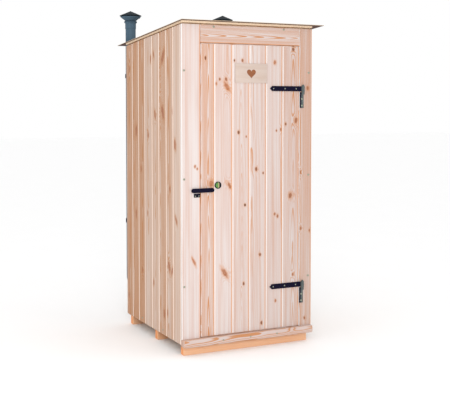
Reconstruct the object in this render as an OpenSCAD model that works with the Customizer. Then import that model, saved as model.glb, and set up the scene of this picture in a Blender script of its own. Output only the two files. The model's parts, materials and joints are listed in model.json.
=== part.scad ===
// Wooden outhouse: a board-clad cabin on three skids, with a pent roof, a ledged door on pin
// hinges, a latch bar, an occupancy indicator and two vent pipes up the rear wall.
// Units are millimetres. +Z is up and the door faces -Y. The origin is on the ground, at the
// centre of the cabin's plan, on the underside of the middle skid.

/* [Cabin] */
// Width of the cabin over its side walls
body_w = 963; // [800:1:1300]
// Depth of the cabin over its front and rear walls
body_d = 1031; // [850:1:1400]
// Height of the roof's front edge above the ground
roof_front_h = 2160; // [1950:1:2600]
// Height of the roof's rear edge above the ground
roof_rear_h = 2066; // [1880:1:2500]
// Thickness of the side and rear walls
wall_t = 20; // [15:1:30]
// Thickness of the front boards beside and over the door
front_t = 26; // [24:1:35]
// Height of the walls' lower edge above the ground
wall_bottom_h = 75; // [60:1:90]
// Height of the ventilation slot between the walls and the roof deck
roof_slot_h = 9; // [4:1:20]

/* [Base] */
// Width of a skid
skid_w = 45; // [35:1:70]
// Height of a skid
skid_h = 92; // [90:1:140]
// Distance that the middle skid lies ahead of the cabin's centre
middle_skid_shift = 18; // [0:1:20]
// Distance from the rear wall's inner face to the rear skid
rear_skid_gap = 4; // [0:1:60]
// Thickness of the floor
floor_t = 20; // [15:1:35]
// Height of the sill board
sill_h = 50; // [30:1:60]
// Distance that the sill board stands out from the front wall
sill_out = 27; // [15:1:60]
// Width of the chamfer on the sill's upper edge
sill_chamfer = 6; // [0:1:12]

/* [Roof] */
// Overhang of the roof sheet past the left wall
over_left = 12; // [5:1:120]
// Overhang of the roof sheet past the right wall
over_right = 75; // [5:1:150]
// Overhang of the roof sheet past the front wall
over_front = 31; // [5:1:150]
// Overhang of the roof sheet past the rear wall
over_rear = 148; // [130:1:250]
// Thickness of the roof sheet
sheet_t = 3; // [2:0.5:6]
// Thickness of the roof deck under the sheet
deck_t = 12; // [9:1:25]

/* [Frame] */
// Side of the square posts and rails
post_w = 45; // [35:1:60]
// Height of the middle rails' underside above the floor
middle_rail_h = 948; // [700:1:1100]

/* [Door] */
// Width of the board left of the door
stile_left_w = 130; // [100:1:180]
// Width of the board right of the door
stile_right_w = 97; // [92:1:140]
// Height of the doorway's top above the sill
doorway_h = 1905; // [1700:1:1950]
// Thickness of the door leaf
leaf_t = 20; // [15:1:21]
// Gap between the leaf and the boards around it
leaf_gap = 6; // [6:0.5:10]
// Height of a ledge on the door's inner face
ledge_h = 95; // [60:1:140]
// Thickness of a ledge
ledge_t = 22; // [15:1:30]
// Distance from the leaf's side edges to the ends of the ledges
ledge_inset = 30; // [20:1:60]
// Width of the diagonal brace
brace_w = 80; // [50:1:110]
// Thickness of the stop that the door closes towards
stop_t = 12; // [8:1:16]
// Distance that the stop reaches behind the leaf's edge
stop_lap = 12; // [6:1:18]
// Angle that the door opens to
door_open_max = 110; // [60:5:120]

/* [Hinges] */
// Height of the upper hinge strap's middle above the ground
hinge_upper_z = 1729; // [1500:1:1800]
// Height of the lower hinge strap's middle above the ground
hinge_lower_z = 400; // [300:1:600]
// Length of a strap from the pin to its tip
strap_l = 250; // [150:1:400]
// Height of a strap
strap_h = 34; // [20:1:40]
// Thickness of a strap
strap_t = 5; // [3:0.5:6]
// Length of a strap's pointed tip
strap_tip = 17; // [8:1:30]
// Radius of the hinge pin
pin_r = 6; // [4:0.5:8]
// Thickness of the metal around the pin
eye_t = 4.5; // [3:0.5:6]
// Radial clearance of a pin in its bore
pin_clear = 0.08; // [0.03:0.01:0.1]
// Distance from the doorway's right edge to the pin
pin_from_door = 21; // [18:1:35]
// Width of the hinge plate on the frame
hinge_plate_w = 28; // [20:1:40]
// Height of the hinge plate
hinge_plate_h = 106; // [60:1:140]
// Thickness of the hinge plate
hinge_plate_t = 4; // [3:0.5:5]

/* [Latch] */
// Height of the latch bar's middle above the ground
latch_z = 1070; // [900:1:1200]
// Length of the latch bar over its round ends
latch_l = 162; // [140:1:200]
// Height of the latch bar
latch_h = 28; // [20:1:34]
// Thickness of the latch bar
latch_t = 6; // [4:0.5:8]
// Distance from the doorway's left edge to the latch pivot
latch_pivot_x = 80; // [60:1:90]
// Radius of the latch pivot
latch_pin_r = 5; // [3:0.5:6]
// Thickness of the spacer that holds the bar off the boards
latch_spacer_t = 6; // [5:0.5:9]
// Width of the keeper under the bar
keeper_w = 44; // [30:1:70]
// Height of the keeper
keeper_h = 24; // [15:1:35]
// Thickness of the keeper's plate and ledge
keeper_t = 3; // [2:0.5:5]

/* [Indicator] */
// Height of the indicator's middle above the ground
indicator_z = 1100; // [950:1:1250]
// Distance from the doorway's left edge to the indicator's middle
indicator_x = 123; // [110:1:180]
// Outer radius of the indicator's ring
ring_r = 23; // [18:1:26]
// Width of the ring's rim
ring_rim = 4.5; // [3:0.5:7]
// Distance that the ring stands out from the leaf
ring_t = 7; // [5:0.5:10]
// Radius of the indicator's spindle
spindle_r = 5; // [3:0.5:7]
// Length of the turn bar inside the door, from the spindle to its tip
turn_l = 150; // [140:1:170]
// Height of the turn bar
turn_h = 22; // [14:1:30]

/* [Name plate] */
// Width of the name plate
plate_w = 237; // [120:1:300]
// Height of the name plate
plate_h = 127; // [80:1:150]
// Thickness of the name plate
plate_t = 4; // [2:0.5:8]
// Distance from the doorway's left edge to the name plate
plate_x = 248; // [200:1:300]
// Height of the name plate's lower edge above the ground
plate_z = 1764; // [1755:1:1780]

/* [Vents] */
// Outer radius of a vent pipe
pipe_r = 37.5; // [25:0.5:45]
// Wall thickness of a vent pipe
pipe_t = 2; // [1.5:0.5:4]
// Inner radius of the elbows' bends
elbow_bend = 12; // [8:1:30]
// Thickness of the flanges on the rear wall
flange_t = 3; // [2:0.5:6]
// Width of the flanges around the pipes
flange_w = 14; // [8:1:20]
// Distance from the left wall's face to the left pipe's axis
pipe_left_x = 57; // [50:1:200]
// Distance from the right wall's face to the right pipe's axis
pipe_right_x = 148; // [50:1:200]
// Height of the caps' tips above the roof's rear edge
cap_above_roof = 250; // [200:1:400]
// Radius of a cap's rim
cap_r = 80; // [60:1:90]
// Height of the pipes' inlets through the rear wall above the ground
inlet_z = 300; // [250:1:600]
// Gap around a pipe where it passes through the roof sheet or the wall
pipe_gap = 2; // [1:0.5:5]
// Width of a pipe clamp
clamp_h = 30; // [15:1:40]
// Height of the upper clamps above the ground
clamp_upper_z = 1835; // [1400:1:1900]
// Height of the lower clamps above the ground
clamp_lower_z = 760; // [600:1:1000]

/* [Hidden] */
// Play between stacked or nested pieces
play = 0.3;
// Depth of the deck's and of the frame's upper faces under the roof's top face
deck_depth = sheet_t + play;
frame_depth = deck_depth + deck_t + play;
floor_top = skid_h + floor_t;
front_y = -body_d / 2;
rear_y = body_d / 2;
left_x = -body_w / 2;
right_x = body_w / 2;
inner_left_x = left_x + wall_t;
inner_right_x = right_x - wall_t;
inner_front_y = front_y + front_t;
inner_rear_y = rear_y - wall_t;
roof_fall = (roof_front_h - roof_rear_h) / (body_d + over_front + over_rear);
doorway_left = left_x + stile_left_w;
doorway_right = right_x - stile_right_w;
doorway_top = floor_top + doorway_h;
leaf_left = doorway_left + leaf_gap;
leaf_right = doorway_right - leaf_gap;
leaf_bottom = floor_top + leaf_gap;
leaf_top = doorway_top - leaf_gap;
leaf_back_y = front_y + leaf_t;
eye_r = pin_r + eye_t;
// Space between a hinge's eye and the boards behind it
eye_gap = 1.5;
pin_x = doorway_right + pin_from_door;
pin_y = front_y - eye_r - eye_gap;
eye_h = strap_h + 6;
// Length of a strap that stands clear of the leaf, on its way to the eye
strap_offset_l = 12;
// Distance from the doorway's right edge to the hinge plates
hinge_plate_inset = 2;
// Drop from a strap's eye to the hinge plate, height of the lug that carries the pin, and
// length of the pin over the eye
hinge_plate_drop = 3;
lug_h = 18;
pin_over = 8;
latch_x = doorway_left + latch_pivot_x;
latch_y = front_y - latch_spacer_t - play;
latch_spacer_r = latch_pin_r + 6;
latch_head_r = latch_pin_r + 4;
latch_head_t = 3;
// Distance from the doorway's left edge to the keeper, and from the bar down to its ledge
keeper_inset = 3;
keeper_drop = 6;
spindle_x = doorway_left + indicator_x;
// Depth of the disc's face in the ring, and the gap around the disc
disc_depth = 2;
disc_gap = 0.5;
// Thickness of the turn bar, and its distance from the stop
turn_t = 6;
turn_gap = 6;
// Distance from the ledges' ends to the brace
brace_inset = 20;
elbow_r = pipe_r + elbow_bend;
// Length of straight pipe between a flange and its elbow
elbow_neck = 1.5;
pipe_y = rear_y + flange_t + elbow_neck + elbow_r;
sleeve_r = pipe_r + play;
// Heights of a cap's cone, of its flare, of its sleeve and of its bead's middle
cap_cone_h = 34;
cap_flare_h = 36;
cap_sleeve_h = 62;
cap_bead_h = 12;
cap_bead_r = 8;
cap_t = 2;
cap_top = roof_rear_h + cap_above_roof;
cap_rim_z = cap_top - cap_cone_h;
pipe_top = cap_rim_z - cap_flare_h;
// Thickness of a clamp's band, and half widths of its arm and of its foot
band_t = 4;
arm_half_w = 9;
foot_half_w = 24;
$fn = 64;

// Height of the roof sheet's top face at a distance along Y
function roof_top_at(y) = roof_front_h - roof_fall * (y - front_y + over_front);
// Height of the deck's underside, and of the walls' upper edges
function deck_bottom_at(y) = roof_top_at(y) - deck_depth - deck_t;
function wall_top_at(y) = deck_bottom_at(y) - roof_slot_h;

// A box from its two far corners
module box(low, high) {
    translate(low) cube(high - low);
}

// A piece of constant section along X; its outline is drawn as [y, z] points
module along_x(x0, x1) {
    translate([x0, 0, 0]) rotate([90, 0, 90]) linear_extrude(x1 - x0) children();
}

// A round bar along Y from y0 to y1
module rod_y(x, z, y0, y1, r) {
    translate([x, y1, z]) rotate([90, 0, 0]) cylinder(h = y1 - y0, r = r);
}

// A board whose upper edge follows the roof
module board_to_roof(x0, x1, y0, y1, bottom) {
    along_x(x0, x1) polygon([
        [y0, bottom], [y1, bottom], [y1, wall_top_at(y1)], [y0, wall_top_at(y0)]
    ]);
}

// A sloping slab that lies a given depth under the roof's top face
module roof_slab(x0, x1, y0, y1, depth, thickness) {
    along_x(x0, x1) polygon([
        [y0, roof_top_at(y0) - depth - thickness], [y1, roof_top_at(y1) - depth - thickness],
        [y1, roof_top_at(y1) - depth], [y0, roof_top_at(y0) - depth]
    ]);
}

module skid(y0) {
    color("peru") box([inner_left_x, y0, 0], [inner_right_x, y0 + skid_w, skid_h]);
}

module floor_boards() {
    color("burlywood")
        box([inner_left_x, inner_front_y, skid_h], [inner_right_x, inner_rear_y, floor_top]);
}

module sill_board() {
    out_y = front_y - sill_out;
    color("burlywood") along_x(left_x, right_x) polygon([
        [out_y, floor_top - sill_h], [inner_front_y, floor_top - sill_h],
        [inner_front_y, floor_top], [out_y + sill_chamfer, floor_top],
        [out_y, floor_top - sill_chamfer]
    ]);
}

module side_wall(x0) {
    color("tan") board_to_roof(x0, x0 + wall_t, inner_front_y, inner_rear_y, wall_bottom_h);
}

module rear_wall() {
    color("tan") difference() {
        board_to_roof(left_x, right_x, inner_rear_y, rear_y, wall_bottom_h);
        for (x = [left_x + pipe_left_x, right_x - pipe_right_x])
            rod_y(x, inlet_z, inner_rear_y - 1, rear_y + 1, pipe_r + pipe_gap);
    }
}

module front_board(x0, x1, bottom) {
    color("bisque") board_to_roof(x0, x1, front_y, inner_front_y, bottom);
}

// Two posts joined by three rails, inside a side wall
module side_frame(x0) {
    x1 = x0 + post_w;
    rear_post_y = inner_rear_y - post_w;
    color("burlywood") {
        for (y = [inner_front_y, rear_post_y])
            along_x(x0, x1) polygon([
                [y, floor_top], [y + post_w, floor_top],
                [y + post_w, deck_bottom_at(y + post_w) - play], [y, deck_bottom_at(y) - play]
            ]);
        for (z = [floor_top, floor_top + middle_rail_h])
            box([x0, inner_front_y, z], [x1, inner_rear_y, z + post_w]);
        roof_slab(x0, x1, inner_front_y, inner_rear_y, frame_depth, post_w);
    }
}

// A rail between the side frames, under the deck
module cross_rail_top(y0) {
    color("burlywood") roof_slab(
        inner_left_x + post_w, inner_right_x - post_w, y0, y0 + post_w, frame_depth, post_w
    );
}

module rear_rail(z) {
    color("burlywood") box(
        [inner_left_x + post_w, inner_rear_y - post_w, z],
        [inner_right_x - post_w, inner_rear_y, z + post_w]
    );
}

module rafter() {
    color("burlywood") roof_slab(
        -post_w / 2, post_w / 2, inner_front_y + post_w, inner_rear_y - post_w,
        frame_depth, post_w
    );
}

module roof_deck() {
    color("wheat") roof_slab(left_x, right_x, front_y, rear_y, deck_depth, deck_t);
}

module roof_sheet() {
    color("saddlebrown") difference() {
        roof_slab(left_x - over_left, right_x + over_right,
            front_y - over_front, rear_y + over_rear, 0, sheet_t);
        for (x = [left_x + pipe_left_x, right_x - pipe_right_x])
            translate([x, pipe_y, roof_rear_h - 50]) cylinder(h = 200, r = pipe_r + pipe_gap);
    }
}

module door_leaf() {
    color("bisque") difference() {
        box([leaf_left, front_y, leaf_bottom], [leaf_right, leaf_back_y, leaf_top]);
        rod_y(spindle_x, indicator_z, front_y - 1, leaf_back_y + 1, spindle_r + pin_clear);
    }
}

// A stop on the backs of the boards around the door, down both sides and across the top
module door_stop() {
    back_y = inner_front_y + stop_t;
    outer_left = inner_left_x + post_w;
    outer_right = inner_right_x - post_w;
    inner_left = leaf_left + stop_lap;
    inner_right = leaf_right - stop_lap;
    top = doorway_top + stop_lap;
    color("burlywood") {
        box([outer_left, inner_front_y, floor_top], [inner_left, back_y, top]);
        box([inner_right, inner_front_y, floor_top], [outer_right, back_y, top]);
        box([outer_left, inner_front_y, leaf_top - stop_lap], [outer_right, back_y, top]);
    }
}

// A ledge behind a hinge strap
module door_ledge(z) {
    color("burlywood") box(
        [leaf_left + ledge_inset, leaf_back_y, z - ledge_h / 2],
        [leaf_right - ledge_inset, leaf_back_y + ledge_t, z + ledge_h / 2]
    );
}

// The brace rises from the lower ledge at the hinges to the upper ledge at the latch
module door_brace() {
    low_z = hinge_lower_z + ledge_h / 2;
    high_z = hinge_upper_z - ledge_h / 2;
    low_x = leaf_right - ledge_inset - brace_inset;
    high_x = leaf_left + ledge_inset + brace_inset;
    color("burlywood") translate([0, leaf_back_y + ledge_t, 0]) rotate([90, 0, 0])
        linear_extrude(ledge_t) polygon([
            [low_x - brace_w, low_z], [low_x, low_z], [high_x + brace_w, high_z], [high_x, high_z]
        ]);
}

// A strap screwed to the leaf, ending in an eye that turns on the pin
module hinge_strap(z) {
    strap_back_y = pin_y + eye_r;
    shoulder_x = pin_x - strap_l + strap_tip;
    color("black") difference() {
        union() {
            translate([0, front_y, z]) rotate([90, 0, 0]) linear_extrude(strap_t) polygon([
                [pin_x - strap_l, 0], [shoulder_x, -strap_h / 2], [leaf_right, -strap_h / 2],
                [leaf_right, strap_h / 2], [shoulder_x, strap_h / 2]
            ]);
            box([leaf_right - strap_offset_l, strap_back_y - strap_t, z - strap_h / 2],
                [pin_x, strap_back_y, z + strap_h / 2]);
            translate([pin_x, pin_y, z - eye_h / 2]) cylinder(h = eye_h, r = eye_r);
        }
        translate([pin_x, pin_y, z - eye_h / 2 - 1]) cylinder(h = eye_h + 2, r = pin_r + pin_clear);
    }
}

// A plate on the right-hand board, with the pin that carries the strap
module hinge_plate(z) {
    plate_x0 = doorway_right + hinge_plate_inset;
    plate_top = z - eye_h / 2 - hinge_plate_drop;
    lug_top = z - eye_h / 2 - play;
    color("black") {
        box([plate_x0, front_y - hinge_plate_t, plate_top - hinge_plate_h],
            [plate_x0 + hinge_plate_w, front_y, plate_top]);
        box([pin_x - pin_r, pin_y, lug_top - lug_h], [pin_x + pin_r, front_y, lug_top]);
        translate([pin_x, pin_y, lug_top - lug_h]) cylinder(h = lug_h, r = eye_r - 1);
        translate([pin_x, pin_y, lug_top - lug_h]) cylinder(h = lug_h + eye_h + pin_over, r = pin_r);
    }
}

// The bar turns on its pivot from level to upright
module latch_bar() {
    end_r = latch_h / 2;
    far_x = latch_x - (latch_l - latch_h);
    color("black") difference() {
        union() {
            box([far_x, latch_y - latch_t, latch_z - end_r], [latch_x, latch_y, latch_z + end_r]);
            for (x = [far_x, latch_x]) rod_y(x, latch_z, latch_y - latch_t, latch_y, end_r);
        }
        rod_y(latch_x, latch_z, latch_y - latch_t - 1, latch_y + 1, latch_pin_r + pin_clear);
    }
}

module latch_pivot() {
    head_y = latch_y - latch_t - play;
    color("black") {
        rod_y(latch_x, latch_z, front_y - latch_spacer_t, front_y, latch_spacer_r);
        rod_y(latch_x, latch_z, head_y, front_y, latch_pin_r);
        rod_y(latch_x, latch_z, head_y - latch_head_t, head_y, latch_head_r);
    }
}

// A plate with a ledge under the bar's free end, open in front so that the door can swing
module latch_keeper() {
    x1 = doorway_left - keeper_inset;
    top = latch_z - latch_h / 2 - keeper_drop;
    color("black") {
        box([x1 - keeper_w, front_y - keeper_t, top - keeper_h], [x1, front_y, top]);
        box([x1 - keeper_w, latch_y - latch_t, top - keeper_t], [x1, front_y, top]);
    }
}

module indicator_ring() {
    color("black") difference() {
        rod_y(spindle_x, indicator_z, front_y - ring_t, front_y, ring_r);
        rod_y(spindle_x, indicator_z, front_y - ring_t - 1, front_y + 1, ring_r - ring_rim);
    }
}

// The disc that shows in the ring, with the spindle through the leaf
module indicator_disc() {
    color("mediumseagreen") {
        rod_y(spindle_x, indicator_z, front_y - ring_t + disc_depth, front_y - play,
            ring_r - ring_rim - disc_gap);
        rod_y(spindle_x, indicator_z, front_y - play, leaf_back_y + play, spindle_r);
    }
}

// The turn bar inside the door; it hangs down at rest and turns behind the left-hand board
module indicator_turn() {
    y0 = inner_front_y + stop_t + turn_gap;
    y1 = y0 + turn_t;
    end_r = turn_h / 2;
    end_z = indicator_z - turn_l + end_r;
    color("black") {
        rod_y(spindle_x, indicator_z, leaf_back_y + play, y1, end_r);
        box([spindle_x - end_r, y0, end_z], [spindle_x + end_r, y1, indicator_z]);
        rod_y(spindle_x, end_z, y0, y1, end_r);
    }
}

module name_plate() {
    x0 = doorway_left + plate_x;
    color("wheat") box([x0, front_y - plate_t, plate_z], [x0 + plate_w, front_y, plate_z + plate_h]);
}

// A straight pipe up the rear wall
module vent_pipe(x) {
    bottom = inlet_z + elbow_r + play;
    color("slategray") translate([x, pipe_y, bottom]) difference() {
        cylinder(h = pipe_top - bottom, r = pipe_r);
        translate([0, 0, -1]) cylinder(h = pipe_top - bottom + 2, r = pipe_r - pipe_t);
    }
}

// An elbow under the pipe, with a flange on the wall and an inlet into the cabin
module vent_elbow(x) {
    neck_y = pipe_y - elbow_r;
    color("slategray") {
        translate([x, neck_y, inlet_z + elbow_r]) rotate([0, 90, 0])
            rotate_extrude(angle = 90) translate([elbow_r, 0]) difference() {
                circle(r = pipe_r);
                circle(r = pipe_r - pipe_t);
            }
        difference() {
            union() {
                rod_y(x, inlet_z, inner_rear_y, neck_y, pipe_r);
                rod_y(x, inlet_z, rear_y, rear_y + flange_t, pipe_r + flange_w);
            }
            rod_y(x, inlet_z, inner_rear_y - 1, neck_y + 1, pipe_r - pipe_t);
        }
    }
}

// A sleeve on the pipe's end with a bead and a flare, and a cone over it on three stays
module vent_cap(x) {
    flare_r = cap_r - 6;
    flare_top = cap_rim_z - 9;
    color("slategray") translate([x, pipe_y, 0]) {
        rotate_extrude() {
            translate([sleeve_r, pipe_top + 1 - cap_sleeve_h]) square([cap_t, cap_sleeve_h]);
            translate([sleeve_r + cap_t, pipe_top - cap_bead_h]) intersection() {
                circle(r = cap_bead_r);
                translate([-1, -cap_bead_r]) square([cap_bead_r + 1, 2 * cap_bead_r]);
            }
            polygon([
                [sleeve_r, pipe_top + 1], [sleeve_r + cap_t, pipe_top - 2],
                [flare_r, flare_top - 3], [flare_r, flare_top]
            ]);
            polygon([
                [0, cap_top - cap_t], [cap_r - 3, cap_rim_z - 4], [cap_r, cap_rim_z - 4],
                [cap_r, cap_rim_z], [0, cap_top]
            ]);
        }
        for (a = [90, 210, 330]) rotate([0, 0, a])
            translate([flare_r - 20, -1.5, flare_top - 13]) cube([16, 3, 24]);
    }
}

// A band around the pipe with an arm to the rear wall
module vent_clamp(x, z) {
    z0 = z - clamp_h / 2;
    color("black") difference() {
        union() {
            translate([x, pipe_y, z0]) cylinder(h = clamp_h, r = sleeve_r + band_t);
            box([x - arm_half_w, rear_y, z0], [x + arm_half_w, pipe_y, z0 + clamp_h]);
            box([x - foot_half_w, rear_y, z0],
                [x + foot_half_w, rear_y + band_t, z0 + clamp_h]);
        }
        translate([x, pipe_y, z0 - 1]) cylinder(h = clamp_h + 2, r = sleeve_r);
    }
}

skid(inner_front_y);  // skid_front
skid(-skid_w / 2 - middle_skid_shift);  // skid_middle
skid(inner_rear_y - rear_skid_gap - skid_w);  // skid_rear
floor_boards();  // floor
sill_board();
side_wall(left_x);  // left_wall
side_wall(inner_right_x);  // right_wall
rear_wall();
front_board(left_x, doorway_left, floor_top);  // front_stile_left
front_board(doorway_right, right_x, floor_top);  // front_stile_right
front_board(doorway_left, doorway_right, doorway_top);  // front_header
side_frame(inner_left_x);  // frame_left
side_frame(inner_right_x - post_w);  // frame_right
cross_rail_top(inner_front_y);  // front_rail
rear_rail(floor_top);  // rear_rail_bottom
rear_rail(floor_top + middle_rail_h);  // rear_rail_middle
cross_rail_top(inner_rear_y - post_w);  // rear_rail_top
rafter();
roof_deck();
roof_sheet();
door_stop();
door_leaf();
door_ledge(hinge_upper_z);  // door_ledge_top
door_ledge(hinge_lower_z);  // door_ledge_bottom
door_brace();
hinge_strap(hinge_upper_z);  // hinge_strap_upper
hinge_strap(hinge_lower_z);  // hinge_strap_lower
hinge_plate(hinge_upper_z);  // hinge_plate_upper
hinge_plate(hinge_lower_z);  // hinge_plate_lower
latch_bar();
latch_pivot();
latch_keeper();
indicator_ring();
indicator_disc();
indicator_turn();
name_plate();
vent_pipe(left_x + pipe_left_x);  // vent_pipe_left
vent_pipe(right_x - pipe_right_x);  // vent_pipe_right
vent_elbow(left_x + pipe_left_x);  // vent_elbow_left
vent_elbow(right_x - pipe_right_x);  // vent_elbow_right
vent_cap(left_x + pipe_left_x);  // vent_cap_left
vent_cap(right_x - pipe_right_x);  // vent_cap_right
vent_clamp(left_x + pipe_left_x, clamp_upper_z);  // vent_clamp_left_upper
vent_clamp(left_x + pipe_left_x, clamp_lower_z);  // vent_clamp_left_lower
vent_clamp(right_x - pipe_right_x, clamp_upper_z);  // vent_clamp_right_upper
vent_clamp(right_x - pipe_right_x, clamp_lower_z);  // vent_clamp_right_lower
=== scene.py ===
# %% [markdown]
# # A wooden outhouse
# The real thing is a small cabin of softwood boards on three skids, with a thin roof, black
# hinges and two vent pipes. The frame, its sizes and its joints come from the CAD model. This
# lesson dresses that frame: single boards, timbers, metalwork, screws and their finishes.

# %% The frame
import json
import math
import random
from functools import reduce

import bmesh
import bpy
import numpy as np
from mathutils import Euler, Matrix, Vector


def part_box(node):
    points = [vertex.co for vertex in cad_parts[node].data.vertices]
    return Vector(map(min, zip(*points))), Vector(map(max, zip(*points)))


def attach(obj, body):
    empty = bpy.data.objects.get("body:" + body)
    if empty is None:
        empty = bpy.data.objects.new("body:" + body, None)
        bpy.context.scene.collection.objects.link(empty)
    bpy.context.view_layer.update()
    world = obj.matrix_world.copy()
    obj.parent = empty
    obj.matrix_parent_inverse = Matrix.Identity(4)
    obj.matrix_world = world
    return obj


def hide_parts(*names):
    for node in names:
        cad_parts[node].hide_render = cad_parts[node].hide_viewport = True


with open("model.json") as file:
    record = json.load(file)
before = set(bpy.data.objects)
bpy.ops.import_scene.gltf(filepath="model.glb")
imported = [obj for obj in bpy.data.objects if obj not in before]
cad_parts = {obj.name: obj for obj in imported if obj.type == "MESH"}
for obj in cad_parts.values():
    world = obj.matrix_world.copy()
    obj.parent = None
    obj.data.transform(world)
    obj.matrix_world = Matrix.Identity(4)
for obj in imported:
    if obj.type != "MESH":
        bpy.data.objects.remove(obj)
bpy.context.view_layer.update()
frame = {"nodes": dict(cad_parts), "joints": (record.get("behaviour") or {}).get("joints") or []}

# %% [markdown]
# ## Shader and node maths
# Node trees are easier to read as sums. One small class wraps a socket, so that `a * 2 + b`
# adds the Math nodes, and one method makes any other node. It serves materials and Geometry
# Nodes alike, because both kinds of tree use the same Math node.


# %% A socket with Python's operators
class Wire:
    """An output socket of a node tree."""

    def __init__(self, tree, socket=None):
        self.tree, self.socket = tree, socket

    def node(self, kind, settings=None, values=None, out=0):
        """Adds a node: first its settings, then the values or links of its inputs."""
        made = self.tree.nodes.new(kind)
        for name, value in (settings or {}).items():
            setattr(made, name, value)
        for key, value in (values or {}).items():
            if isinstance(value, Wire):
                self.tree.links.new(value.socket, made.inputs[key])
            else:
                made.inputs[key].default_value = value
        return Wire(self.tree, made.outputs[out])

    def math(self, operation, *values):
        return self.node("ShaderNodeMath", {"operation": operation}, dict(enumerate(values)))

    def __add__(self, other):
        return self.math("ADD", self, other)

    def __sub__(self, other):
        return self.math("SUBTRACT", self, other)

    def __rsub__(self, other):
        return self.math("SUBTRACT", other, self)

    def __mul__(self, other):
        return self.math("MULTIPLY", self, other)

    def __truediv__(self, other):
        return self.math("DIVIDE", self, other)

    __radd__, __rmul__ = __add__, __mul__

    def step(self, low, high):
        """0 below low, 1 above high, and smooth between them."""
        return self.node("ShaderNodeMapRange", {"interpolation_type": "SMOOTHSTEP"},
                         {"Value": self, "From Min": low, "From Max": high}, "Result")

    def parts(self):
        """The three numbers of a vector."""
        made = self.node("ShaderNodeSeparateXYZ", None, {0: self}).socket.node
        return [Wire(self.tree, made.outputs[i]) for i in range(3)]

    def vector(self, x, y, z):
        return self.node("ShaderNodeCombineXYZ", None, {0: x, 1: y, 2: z})

    def vectors(self, operation, *values, out=0):
        return self.node("ShaderNodeVectorMath", {"operation": operation},
                         dict(enumerate(values)), out)

    def noise(self, scale, detail=2.0, roughness=0.5, distortion=0.0):
        """Noise on this vector, from 0 to 1."""
        return self.node("ShaderNodeTexNoise", None, {
            "Vector": self, "Scale": scale, "Detail": detail, "Roughness": roughness,
            "Distortion": distortion}, "Fac")

    def mix(self, under, over):
        """Two colours mixed by this mask."""
        return self.node("ShaderNodeMix", {"data_type": "RGBA"},
                         {0: self, 6: colour4(under), 7: colour4(over)}, 2)


print("Wire has", sum(not word.startswith("__") for word in vars(Wire)), "named methods")

# %% [markdown]
# Colours are easiest to name as a screen shows them, from 0 to 255, but shaders reckon with
# linear light, so one helper turns the first into the second. Another opens an empty material
# and closes it with what its shader needs.


# %% Colours and new materials
def colour4(colour):
    """A colour as a node's socket takes it."""
    return colour if isinstance(colour, Wire) else (*colour, 1)


def srgb(red, green, blue):
    """Linear numbers of a colour given as 0 to 255."""
    return tuple((c / 255 / 12.92) if c < 11 else ((c / 255 + 0.055) / 1.055) ** 2.4
                 for c in (red, green, blue))


def new_material(name):
    """An empty material: (a Wire to start from, a function that closes it and returns it)."""
    made = bpy.data.materials.new(name)
    made.use_nodes = True
    tree = made.node_tree
    shader = tree.nodes["Principled BSDF"]

    def close(**values):
        for key, value in values.items():
            socket = shader.inputs[key.replace("_", " ")]
            if isinstance(value, Wire):
                tree.links.new(value.socket, socket)
            else:
                socket.default_value = colour4(value) if isinstance(value, tuple) else value
        print("finish:", name, "with", len(tree.nodes), "nodes")
        return made

    return Wire(tree), close


print("white is", srgb(255, 255, 255))

# %% [markdown]
# ## Wood
# Pine is built from rings round a pith. A board is a slice through them, so its face shows
# arches where it passes near the pith and straight lines at its edges. The material works
# that out for real: every board carries where its pith lies, its tone and its knots as
# attributes, and the rings bulge round each knot. One material then serves boards of every
# size and direction, and no two look alike.

# %% Pigments, and how many knots a board can have
KNOTS = 6


def pigment(red, green, blue, light=1.0):
    """A colour that looks like the given one under that much light."""
    return tuple(c / light for c in srgb(red, green, blue))


def darker(colour, share):
    """The same colour with only that share of its light."""
    return tuple(c * share for c in colour)


print("a board has up to", KNOTS, "knots")

# %% [markdown]
# A knot is a branch that the trunk grew round: a dark, hard eye with a warm halo, and rings
# that swerve past it. Each knot gives four masks over the board, and the masks of all knots
# are gathered into one set. A knot's edge is not a clean ellipse, so noise lets it wander.


# %% The knots of a board
EYE_EDGE, HALO_EDGE = (0.55, 1.0), (0.7, 2.3)


def knot_masks(w, read, grain):
    """Eye, ink (the black part of dead knots), how far the rings bulge, and the distance to
    the nearest knot, counted in its radii."""
    across, deep, along = grain.parts()
    wander = (grain.noise(48.0, 2.0) - 0.5) * 1.1
    eyes, inks, pushes, reaches = [], [], [], []
    for k in range(KNOTS):
        place_across, size, place_along = read(f"knot_{k}").parts()
        lean, stretch, dark = read(f"mark_{k}").parts()
        up = along - place_along
        offset = w.vector(across - place_across + lean * up, up * stretch, 0.0)
        reach = w.vectors("LENGTH", offset, out="Value") / size + wander
        here = 1 - reach.step(*EYE_EDGE)
        eyes.append(here)
        inks.append(here * dark)
        pushes.append(size * w.math("EXPONENT", reach * reach * -0.25) * 1.1)
        reaches.append(reach)
    eye, ink = (reduce(lambda a, b: w.math("MAXIMUM", a, b), m) for m in (eyes, inks))
    bulge = reduce(lambda a, b: a + b, pushes)
    nearest = reduce(lambda a, b: w.math("MINIMUM", a, b), reaches)
    return eye, ink, bulge, nearest


print("an eye fades between", EYE_EDGE, "and its halo between", HALO_EDGE, "radii")

# %% [markdown]
# The rest of the pine is drawn from the same grain. Early wood is pale with a pink blush, late
# wood is a narrow orange line at the end of each ring, and warm boards are soaked with resin.
# The chamfers of the grooves get painted light: a painted highlight on those that face the
# light, and a painted shade on the others and on the arris beside the groove.

# %% Pine from rings, streaks and knots
FRONT_HALF = (0.010, 0.012)     # depth under the face where the hidden half begins
FACE_SKIN = (0.0001, 0.0007)    # depth at which a chamfer leaves the face


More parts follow.
